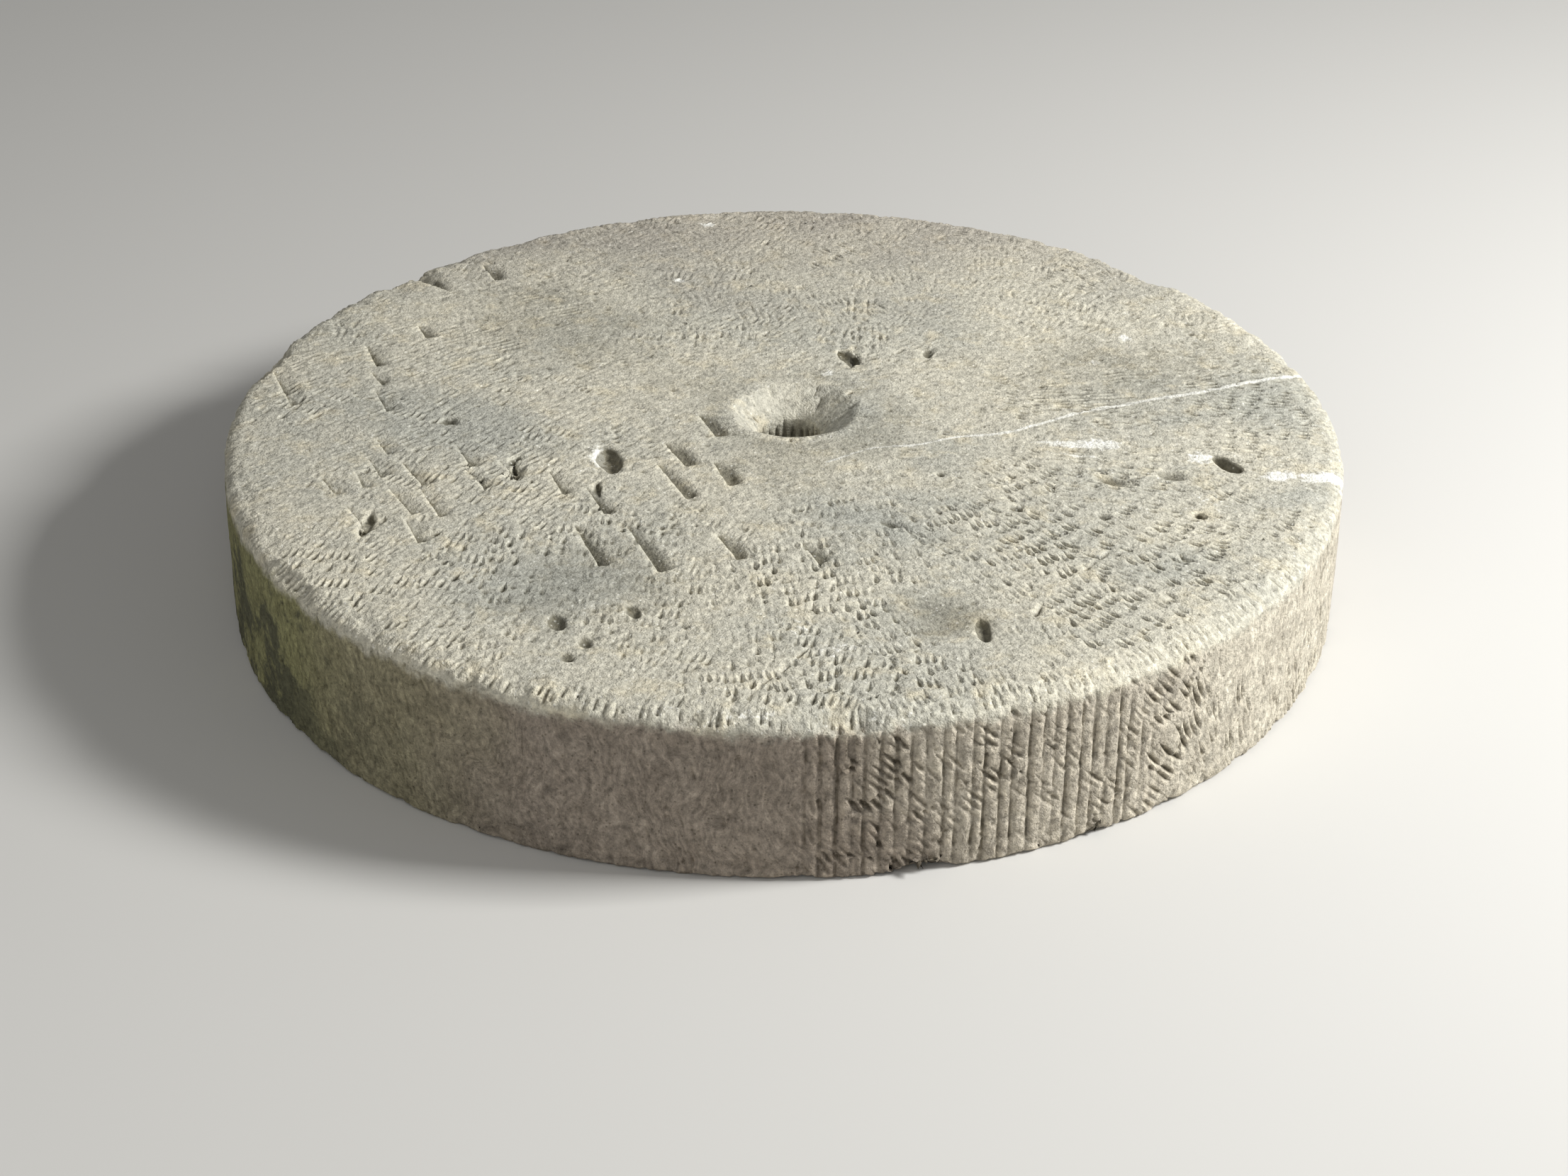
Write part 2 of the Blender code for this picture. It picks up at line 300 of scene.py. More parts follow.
def scaled(vector, factor):
    inputs = {0: vector, "Scale": factor}
    return add(tree_of(vector), "ShaderNodeVectorMath", inputs, operation="SCALE").outputs["Vector"]


def rotated(vector, angle):
    """Turns a vector about +Z."""
    inputs = {"Vector": vector, "Angle": angle}
    return add(tree_of(vector), "ShaderNodeVectorRotate", inputs, rotation_type="Z_AXIS").outputs[0]


def split(vector):
    """A vector's three numbers."""
    return add(tree_of(vector), "ShaderNodeSeparateXYZ", {0: vector}).outputs[:]


def joined(x, y):
    """A level vector of two numbers."""
    return add(tree_of(x, y), "ShaderNodeCombineXYZ", {0: x, 1: y}).outputs[0]


def between(value, low, high, to_low=0.0, to_high=1.0, interpolation="SMOOTHSTEP"):
    """Carries a value from one range to another along a soft curve, and stops it at the ends."""
    ends = {"Value": value, "From Min": low, "From Max": high, "To Min": to_low, "To Max": to_high}
    node = add(tree_of(value), "ShaderNodeMapRange", ends, interpolation_type=interpolation)
    return node.outputs["Result"]


def straight(value, low, high, to_low=0.0, to_high=1.0):
    """The same, in a straight line."""
    return between(value, low, high, to_low, to_high, "LINEAR")


def noise(place, scale, detail=2.0, rough=0.5):
    inputs = {"Vector": place, "Scale": scale, "Detail": detail, "Roughness": rough}
    return add(tree_of(place), "ShaderNodeTexNoise", inputs).outputs["Fac"]


def curve_through(value, spots, handle=None):
    """Reads a value off a curve through spots that run from 0 to 1."""
    node = add(tree_of(value), "ShaderNodeFloatCurve", {"Value": value})
    line = node.mapping.curves[0]
    while len(line.points) < len(spots):
        line.points.new(0.5, 0.5)
    for point, spot in zip(line.points, spots):
        point.location = spot
        if handle:
            point.handle_type = handle
    node.mapping.update()
    return node.outputs[0]


def mixed(factor, a, b, blend="MIX"):
    """Mixes two colours."""
    a, b = (colour if isinstance(colour, bpy.types.NodeSocket) else (*colour, 1.0) for colour in (a, b))
    inputs = {0: factor, 6: a, 7: b}
    look = {"data_type": "RGBA", "blend_type": blend, "clamp_factor": True}
    return add(tree_of(factor, a, b), "ShaderNodeMix", inputs, **look).outputs[2]


def tinted(colour, tint):
    return mixed(1.0, colour, tint, "MULTIPLY")


def grey(value):
    """The grey with this value in each channel."""
    return add(tree_of(value), "ShaderNodeCombineColor", {0: value, 1: value, 2: value}).outputs[0]


def set_inputs(modifier, values):
    """Sets a Geometry Nodes modifier's inputs, found by name and set by identifier."""
    for item in modifier.node_group.interface.items_tree:
        if item.item_type == "SOCKET" and item.in_out == "INPUT" and item.name in values:
            modifier[item.identifier] = values[item.name]


# Strokes of the toothed chisel, as a field that both the mesh and the material use


# What one step of the seed moves the patterns by
SEED_SHIFT = (0.37, 0.19, 0.11)
# A tooth's mark deepens over the first share of its length and runs out over the last
ENTRY = 0.60
EXIT = 0.20
# How much shallower a mark gets over one pitch to the side, as a share of its full depth
WALL_SLOPE = 2.1


def chance_of(a, b):
    """A chance number from 0 to 1 that two numbers always give."""
    pair = joined(a, b)
    node = add(tree_of(pair), "ShaderNodeTexWhiteNoise", {"Vector": pair}, noise_dimensions="2D")
    return node.outputs["Value"]


def toothed(plane, heading_of, spread, length, tools):
    """Depth, 0 to 1, of strokes side by side. They lie in patches, and each patch has one direction."""
    shift = (SEED_SHIFT[0] * tools.seed, SEED_SHIFT[1] * tools.seed, 0.0)
    spots = {"Vector": vector_calc("ADD", plane, shift), "Scale": 1 / tools.patch}
    cells = add(tree_of(plane), "ShaderNodeTexVoronoi", spots, voronoi_dimensions="2D")
    centre = vector_calc("SUBTRACT", cells.outputs["Position"], shift)
    one, two, three = split(cells.outputs["Color"])
    heading = plus(heading_of(centre), swing(one, spread))
    turned = rotated(vector_calc("SUBTRACT", plane, centre), times(heading, -1.0))
    along, across = split(turned)[:2]
    lane = plus(calc("DIVIDE", across, tools.pitch), two)
    tooth = calc("FLOOR", lane)
    slip = times(chance_of(tooth, three), 0.30)
    run = plus(calc("DIVIDE", along, length), plus(three, slip))
    phase = calc("FRACT", run)
    aside = calc("ABSOLUTE", minus(calc("FRACT", lane), 0.5))
    entry = calc("DIVIDE", phase, ENTRY)
    leave = calc("DIVIDE", minus(1.0, phase), EXIT)
    keel = calc("MINIMUM", calc("MINIMUM", entry, leave), 1.0)
    groove = calc("MAXIMUM", minus(keel, times(aside, WALL_SLOPE)), 0.0)
    blow = chance_of(tooth, plus(calc("FLOOR", run), times(three, 31.0)))
    return times(groove, straight(blow, 0.08, 0.90, 0.0, 1.15))


def face_heading(centre):
    """Direction in which the mason struck on the face: towards the front, fanning out to both sides."""
    x, y = split(centre)[:2]
    turn = calc("ARCTAN2", x, times(y, -1.0))
    heading = minus(times(turn, between(turn, -0.1, 0.1, 0.42, 0.85)), math.pi / 2)
    back = between(y, 0.20 * RADIUS, 0.60 * RADIUS)
    lean = calc("WRAP", minus(math.radians(100), heading), math.pi / 2, -math.pi / 2)
    return plus(heading, times(back, lean))


def slant_share(turn):
    """1 on the front right of the rim, where the strokes slant between the furrows."""
    begin = between(turn, math.radians(-90), math.radians(-80))
    end = between(turn, math.radians(-51), math.radians(-44), 1.0, 0.0)
    return times(begin, end)


def rim_heading(centre):
    """Direction of the strokes on the unrolled rim: slanting at the front right, steeper elsewhere."""
    slanted = slant_share(calc("DIVIDE", split(centre)[0], RADIUS))
    return plus(math.radians(-72), times(slanted, math.radians(26)))


def freshness(place):
    """How deep the strokes are at a place: on the face, then on the rim, from 0 to about 1.2."""
    x, y, z = split(place)
    r = vector_calc("LENGTH", joined(x, y))
    worn_middle = between(r, 0.18 * RADIUS, 0.50 * RADIUS, 1.0, 0.0)
    back = between(y, 0.10 * RADIUS, 0.50 * RADIUS)
    front = between(y, -0.55 * RADIUS, -0.30 * RADIUS, 1.0, 0.0)
    right = times(between(x, 0.25 * RADIUS, 0.60 * RADIUS), minus(1.0, back))
    face = 0.74
    for share, weight in ((front, 0.26), (right, 0.28), (back, -0.26), (worn_middle, -0.24)):
        face = plus(times(share, weight), face)
    face = times(face, between(r, RADIUS - 0.018, RADIUS - 0.008, 1.0, 0.25))
    face = times(face, between(z, THICKNESS - 0.0045, THICKNESS - 0.0020))

    turn = calc("ARCTAN2", y, x)
    rim = plus(times(slant_share(turn), 0.75), 0.36)
    rim = plus(rim, times(between(turn, math.radians(-60), math.radians(-45)), 0.32))
    rim = times(rim, between(r, RADIUS - 0.020, RADIUS - 0.010))
    rim = times(rim, between(z, THICKNESS - 0.016, THICKNESS - 0.008, 1.0, 0.0))

    worn = straight(noise(place, 9.0), 0.34, 0.60, 0.25, 1.15)
    worn = times(worn, straight(noise(place, 34.0), 0.30, 0.62, 0.55, 1.12))
    return times(face, worn), times(rim, worn)


def tooling(place, face, rim, tools):
    """Depth, 0 to about 1.2, of the toothed chisel's strokes, from how fresh they are on face and rim."""
    x, y, z = split(place)
    unrolled = joined(times(calc("ARCTAN2", y, x), RADIUS), z)
    spread = between(y, 0.10 * RADIUS, 0.45 * RADIUS, 0.60, 1.90)
    on_face = times(toothed(joined(x, y), face_heading, spread, tools.length, tools), face)
    on_rim = times(toothed(unrolled, rim_heading, 0.20, 1.7 * tools.length, tools), rim)
    return plus(on_face, on_rim)


# Single strokes, cut into the mesh


# Kinds of stroke: a trough that tapers at both ends, and a wedge with one steep wall
TROUGH = 0
WEDGE = 1
# How far from the surface the search for it starts
STAND_OFF = 0.05
UP = Vector((0, 0, 1))
DOWN = Vector((0, 0, -1))
ABOVE = Vector((0, 0, THICKNESS + STAND_OFF))


def new_object(name, data):
    """An object in the scene."""
    obj = bpy.data.objects.new(name, data)
    bpy.context.scene.collection.objects.link(obj)
    return obj


def mesh_object(name, bm):
    """Turns a bmesh into an object in the scene."""
    mesh = bpy.data.meshes.new(name)
    bm.to_mesh(mesh)
    bm.free()
    return new_object(name, mesh)


class MarkList:
    """Strokes to cut: where and in which direction the surface is looked for, and run, size and kind."""

    def __init__(self):
        self.places = []
        self.aims = []
        self.runs = []
        self.sizes = []
        self.kinds = []

    def add(self, place, aim, run, length, width, depth, kind=TROUGH):
        self.places.append(place)
        self.aims.append(aim)
        self.runs.append(run)
        self.sizes.append((length, width, depth))
        self.kinds.append(kind)

    def guide(self, name):
        """A mesh of loose points that carries the strokes as attributes."""
        mesh = bpy.data.meshes.new(name)
        mesh.from_pydata(self.places, [], [])
        for title, values in (("aim", self.aims), ("run", self.runs), ("size", self.sizes)):
            layer = mesh.attributes.new(title, "FLOAT_VECTOR", "POINT")
            layer.data.foreach_set("vector", [c for vector in values for c in vector])
        mesh.attributes.new("kind", "INT", "POINT").data.foreach_set("value", self.kinds)
        return new_object(name, mesh)


def smoothstep(value, low, high):
    t = min(1.0, max(0.0, (value - low) / (high - low)))
    return t * t * (3 - 2 * t)


def level(turn):
    """The level direction at an angle from +X."""
    return Vector((math.cos(turn), math.sin(turn), 0))


def left_of(run):
    return Vector((-run.y, run.x, 0))


# The share of the teeth that leave no scratch, and a scratch's length in strokes
MISSING_TEETH = 0.114
SCRATCH_LENGTH = 2.2


def comb(marks, tools, rng, x, y, heading, strength):
    """Long light scratches side by side, as one drag of the toothed chisel leaves them."""
    run = level(heading)
    across = left_of(run)
    teeth = rng.randint(tools.teeth - 2, tools.teeth + 1)
    for tooth in range(teeth):
        if rng.random() < MISSING_TEETH:
            continue
        shift = (tooth - (teeth - 1) / 2) * tools.pitch + rng.gauss(0, 0.0004)
        place = Vector((x, y, ABOVE.z)) + across * shift + run * rng.gauss(0, 0.002)
        depth = tools.depth * strength * rng.uniform(0.5, 1.15)
        width = tools.width * rng.uniform(0.75, 1.2)
        length = tools.length * SCRATCH_LENGTH * rng.uniform(0.7, 1.25)
        marks.add(place, DOWN, run, length, width, depth)


# Fields of long scratches: centre as shares of the radius, reach in metres, heading in degrees, how many
RAKED_FIELDS = (
    (-0.470, -0.215, 0.075, 52, 12), (-0.640, -0.420, 0.060, 58, 9), (-0.300, -0.300, 0.050, 66, 7),
    (-0.560, 0.300, 0.070, 40, 8), (-0.150, -0.560, 0.060, 75, 7), (0.330, -0.250, 0.070, 22, 8),
    (0.560, 0.120, 0.080, 12, 8), (0.700, -0.420, 0.060, 35, 8), (-0.450, 0.560, 0.080, 30, 7),
    (0.250, 0.560, 0.090, -60, 7), (-0.100, 0.620, 0.080, 100, 6), (0.520, 0.500, 0.080, 75, 6),
)


def raked_fields(marks, tools, rng):
    """Long light scratches over the other marks, where the chisel was dragged."""
    for u, v, reach, heading, count in RAKED_FIELDS:
        for _ in range(count):
            x = u * RADIUS + rng.gauss(0, 0.45) * reach
            y = v * RADIUS + rng.gauss(0, 0.45) * reach
            turn = math.radians(heading + rng.gauss(0, 6))
            comb(marks, tools, rng, x, y, turn, rng.uniform(0.35, 0.60))


# Furrows on the rim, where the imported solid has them: azimuth in degrees and depth in millimetres
FURROWS = (
    (271.98, 1.1), (273.34, 1.6), (274.82, 1.8), (276.27, 1.7), (277.34, 1.9), (278.79, 1.6), (280.20, 1.8),
    (281.50, 1.2), (282.90, 1.0), (284.53, 1.6), (285.68, 1.3), (287.33, 1.5), (288.39, 1.9), (289.94, 2.1),
    (291.09, 1.4), (292.76, 1.9), (294.17, 0.9), (295.29, 1.0), (296.62, 2.1), (298.16, 2.0), (299.45, 1.9),
    (300.86, 1.2), (302.37, 2.0), (303.46, 1.6), (305.05, 1.1), (306.32, 1.0),
)
DEEPEST_FURROW = 2.1
# Overlapping strokes make up a furrow
FURROW_STROKE = 0.036
FURROW_STEP = 0.017


def rim_furrows(marks, tools, rng):
    """Deepens the upright furrows, each as a row of overlapping strokes, and adds faint ones further left."""
    faint = [(232 + 2.3 * index + rng.uniform(-0.6, 0.6), rng.uniform(0.3, 0.9)) for index in range(17)]
    for degrees, millimetres in (*FURROWS, *faint):
        out = level(math.radians(degrees))
        side = left_of(out)
        ends = smoothstep(degrees, 270.5, 276) * (1 - smoothstep(degrees, 302, 307.5))
        z = rng.uniform(0.004, 0.012)
        while z < THICKNESS:
            run = (side * rng.gauss(0, 0.03) - UP).normalized()
            place = out * (RADIUS + STAND_OFF) + Vector((0, 0, z)) + side * rng.gauss(0, 0.0003)
            depth = (millimetres * 0.001 + tools.furrow_deepening * ends) * rng.uniform(0.55, 1.2)
            marks.add(place, -out, run, FURROW_STROKE, tools.furrow_width * rng.uniform(0.85, 1.1), depth)
            z += FURROW_STEP


def edge_strokes(marks, tools, rng):
    """Strokes across the worn upper edge, which leave it ragged."""
    azimuth = 0.0
    while azimuth < 360:
        azimuth += math.degrees(rng.uniform(0.8, 1.5) * tools.pitch / RADIUS)
        turn = math.radians(azimuth)
        out = level(turn)
        aim = (out + Vector((0, 0, 1.3))).normalized()
        run = (out - Vector((0, 0, 0.6))).normalized()
        lip = Vector((0, 0, THICKNESS - 0.005)) + out * (RADIUS - 0.008 + rng.gauss(0, 0.003))
        front = smoothstep(math.sin(turn), -0.1, -0.5)
        length = tools.length * rng.uniform(0.8, 1.6)
        depth = tools.depth * rng.uniform(0.5, 1.1) * (0.75 + 0.5 * front)
        marks.add(lip + aim * STAND_OFF, -aim, run, length, tools.width * rng.uniform(0.8, 1.5), depth)


def eye_strokes(marks, tools, rng):
    """Long strokes down the funnel and upright ones in the eye."""
    azimuth = 0.0
    while azimuth < 360:
        azimuth += rng.uniform(8, 30)
        out = level(math.radians(azimuth))
        place = EYE_CENTRE + out * rng.uniform(0.034, 0.054) + ABOVE
        depth = tools.depth * rng.uniform(0.3, 1.2)
        marks.add(place, DOWN, out, rng.uniform(0.012, 0.026), tools.width * 1.1, depth)
    azimuth = 0.0
    while azimuth < 360:
        azimuth += rng.uniform(11, 18)
        out = level(math.radians(azimuth))
        for z in (0.095, 0.060, 0.025):
            place = SHAFT_CENTRE + Vector((0, 0, z + rng.gauss(0, 0.004)))
            marks.add(place, out, DOWN, 0.036, tools.width * 1.2, tools.depth * 1.1)


# The rows of the point on the underside: their spacing and their direction
ROW_SPACING = 0.021
ROW_TURN = Matrix.Rotation(math.radians(24), 3, "Z")


def underside_strokes(marks, tools, rng):
    """Coarse rows of the point across the hidden bed face."""
    for row in range(int(2 * RADIUS / ROW_SPACING)):
        y = -RADIUS + ROW_SPACING * (row + 0.5)
        x = -RADIUS + rng.uniform(0, 0.03)
        while x < RADIUS:
            run = level(math.radians(12 + rng.gauss(0, 7)))
            place = ROW_TURN @ Vector((x, y + rng.gauss(0, 0.002), -STAND_OFF))
            marks.add(place, UP, run, rng.uniform(0.022, 0.038), tools.width * 1.6, tools.depth * 0.9)
            x += rng.uniform(0.030, 0.046)


# Cuts of the flat chisel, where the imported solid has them: start and length in metres, heading in degrees
GOUGES = (
    (-0.4266, 0.0949, 0.046, -70.0), (-0.4126, 0.0580, 0.030, -70.6), (-0.3555, 0.1471, 0.042, -71.3),
    (-0.3460, 0.0958, 0.026, -62.8), (-0.3388, 0.0635, 0.046, -70.4), (-0.3159, 0.1894, 0.026, -69.0),
    (-0.2722, 0.3213, 0.036, -67.3), (-0.3613, -0.0985, 0.031, -61.5), (-0.3348, -0.0891, 0.026, -71.0),
    (-0.3285, -0.0639, 0.033, -66.6), (-0.3267, -0.0292, 0.030, -65.4), (-0.3361, -0.1444, 0.043, -61.4),
    (-0.3078, -0.1120, 0.050, -62.2), (-0.3015, -0.0706, 0.043, -61.6), (-0.2894, -0.1625, 0.040, -68.7),
    (-0.2831, -0.1116, 0.052, -67.0), (-0.2619, -0.0378, 0.040, -67.7), (-0.2502, -0.0792, 0.036, -61.4),
    (-0.2259, -0.0630, 0.031, -60.5), (-0.1854, -0.0787, 0.042, -70.2), (-0.1602, -0.1661, 0.068, -69.9),
    (-0.1539, -0.1062, 0.047, -69.2), (-0.1201, -0.1656, 0.080, -69.2), (-0.1008, -0.0644, 0.064, -66.2),
    (-0.0963, -0.0275, 0.045, -64.9), (-0.0698, 0.0234, 0.042, -68.8), (-0.0562, -0.0594, 0.043, -72.0),
    (-0.0513, -0.1800, 0.044, -67.0), (0.0131, -0.1921, 0.035, -67.6),
)
# The wedge's steep wall stands this share of its width beside the point that it is set on
WALL_OFFSET = 0.30


def gouges(marks, tools, rng):
    """Sharpens the cuts of the flat chisel. Each is set on the whole face beside its steep wall."""
    for x, y, length, heading in GOUGES:
        run = level(math.radians(heading))
        middle = Vector((x, y, ABOVE.z)) + run * (length / 2 + 0.001)
        place = middle - left_of(run) * (WALL_OFFSET * tools.gouge_width + 0.0008)
        depth = tools.gouge_depth * rng.uniform(0.85, 1.1)
        marks.add(place, DOWN, run, length + 0.004, tools.gouge_width, depth, WEDGE)


# Single lines across the face: start and end as shares of the radius, then width and depth in metres
SCORED_LINES = (
    (-0.322, 0.424, -0.351, 0.330, 0.0030, 0.0012), (-0.311, 0.289, -0.351, 0.237, 0.0030, 0.0012),
    (-0.403, 0.569, -0.433, 0.527, 0.0030, 0.0012), (-0.374, 0.695, -0.413, 0.642, 0.0030, 0.0012),
    (0.450, -0.394, 0.385, -0.465, 0.0036, 0.0020), (0.514, -0.393, 0.474, -0.444, 0.0036, 0.0018),
    (0.549, -0.454, 0.494, -0.530, 0.0046, 0.0030), (0.420, -0.516, 0.380, -0.556, 0.0036, 0.0020),
    (0.657, -0.453, 0.667, -0.504, 0.0060, 0.0034), (0.424, -0.627, 0.404, -0.677, 0.0060, 0.0034),
    (0.045, -0.770, -0.005, -0.860, 0.0046, 0.0034), (-0.005, -0.850, -0.058, -0.942, 0.0034, 0.0020),
    (0.187, -0.780, 0.138, -0.850, 0.0040, 0.0024), (0.100, 0.270, 0.112, 0.410, 0.0040, 0.0018),
    (0.125, 0.255, 0.137, 0.390, 0.0040, 0.0018), (0.150, 0.260, 0.160, 0.370, 0.0040, 0.0016),
    (0.197, -0.365, 0.237, -0.441, 0.0060, 0.0026),
)
# A scored line is cut in pieces of about this length, which overlap
LINE_PIECE = 0.022
LINE_OVERLAP = 1.35


def scored_lines(marks):
    for x1, y1, x2, y2, width, depth in SCORED_LINES:
        start = Vector((x1, y1, 0)) * RADIUS
        end = Vector((x2, y2, 0)) * RADIUS
        run = (end - start).normalized()
        pieces = max(1, round((end - start).length / LINE_PIECE))
        for index in range(pieces):
            place = start.lerp(end, (index + 0.5) / pieces) + ABOVE
            length = LINE_OVERLAP * (end - start).length / pieces
            marks.add(place, DOWN, run, length, width, depth)


def strip_object(name, rows):
    """An object whose faces join each row of points to the next."""
    bm = bmesh.new()
    rows = [[bm.verts.new(co) for co in row] for row in rows]
    for a, b in zip(rows, rows[1:]):
        for i in range(len(a) - 1):
            bm.faces.new((a[i], b[i], b[i + 1], a[i + 1]))
    return mesh_object(name, bm)


def trough_shape(name):
    """A boat-shaped trough one unit long, wide and deep, whose walls go on above the surface."""
    top = 1.5
    rows = []
    for x, keel in ((-0.5, 0.30), (-0.22, -0.65), (0.28, -1.0), (0.5, 0.70)):
        half = 0.5 * (top - keel)
        rows.append(((x, -half, top), (x, 0.06, keel), (x, half, top)))
    return strip_object(name, rows)


def wedge_shape(name):
    """A wedge one unit long, wide and deep. One wall is steep, and the floor rises from it to the other."""
    top = 1.6
    rows = []
    for x, keel in ((-0.5, 0.10), (-0.40, -0.40), (0.10, -0.72), (0.45, -1.0), (0.5, 1.0)):
        corners = (
            (x, WALL_OFFSET - 0.04 * (top - keel), top),
            (x, WALL_OFFSET, keel),
            (x, WALL_OFFSET + 0.35, 0.45 * keel if keel < 0 else keel),
            (x, WALL_OFFSET + 1.0, 0.0 if keel < 0 else keel),
            (x, WALL_OFFSET + 1.3, top),
        )
        rows.append(corners)
    return strip_object(name, rows)


# Surface


def edge_mask(place):
    """1 along the upper and the lower edge of the stone, 0 away from them."""
    x, y, z = split(place)
    outer = between(vector_calc("LENGTH", joined(x, y)), RADIUS - 0.034, RADIUS - 0.010)
    from_middle = calc("ABSOLUTE", minus(z, THICKNESS / 2))
    return times(outer, between(from_middle, THICKNESS / 2 - 0.030, THICKNESS / 2 - 0.008))


CARVING_INPUTS = (
    ("Geometry", "NodeSocketGeometry", None),
    ("Marks", "NodeSocketObject", None),
    ("Trough", "NodeSocketObject", None),
    ("Wedge", "NodeSocketObject", None),
    ("Reach", "NodeSocketFloat", 0.009),
    ("Stroke Depth", "NodeSocketFloat", 0.002),
    ("Unevenness", "NodeSocketFloat", 0.001),
    ("Roughness", "NodeSocketFloat", 0.0005),
    ("Edge Chipping", "NodeSocketFloat", 0.003),
    ("Pit Depth", "NodeSocketFloat", 0.001),
    ("Seed", "NodeSocketFloat", 11.0),
    ("Material", "NodeSocketMaterial", None),
)


def roughened(place, given, tools, face_fresh, rim_fresh):
    """How far the hewn surface stands out from the solid's: uneven, chipped, pitted and combed."""
    spot = vector_calc("ADD", place, vector_calc("MULTIPLY", given["Seed"], SEED_SHIFT))
    broad = minus(noise(spot, 16.0), 0.5)
    lumps = minus(noise(spot, 75.0, 3.0, 0.6), 0.5)
    chips = straight(noise(spot, 42.0, 3.0, 0.6), 0.46, 0.72)
    chips = times(chips, times(edge_mask(place), given["Edge Chipping"]))
    cells = add(tree_of(spot), "ShaderNodeTexVoronoi", {"Vector": spot, "Scale": 95.0})
    hollow = between(cells.outputs["Distance"], 0.10, 0.34, 1.0, 0.0)
    chosen = calc("GREATER_THAN", split(cells.outputs["Color"])[0], 0.72)
    pits = times(times(hollow, chosen), given["Pit Depth"])
    rise = times(broad, times(given["Unevenness"], 2.0))
    rise = plus(rise, times(lumps, times(given["Roughness"], 2.0)))
    rise = minus(minus(rise, chips), pits)
    return minus(rise, times(tooling(place, face_fresh, rim_fresh, tools), given["Stroke Depth"]))


# The low chip's ledge: below this height, and facing up by at least this share
LEDGE_TOP = 0.03
LEDGE_SLOPE = 0.2
MILLIMETRES = 1000.0


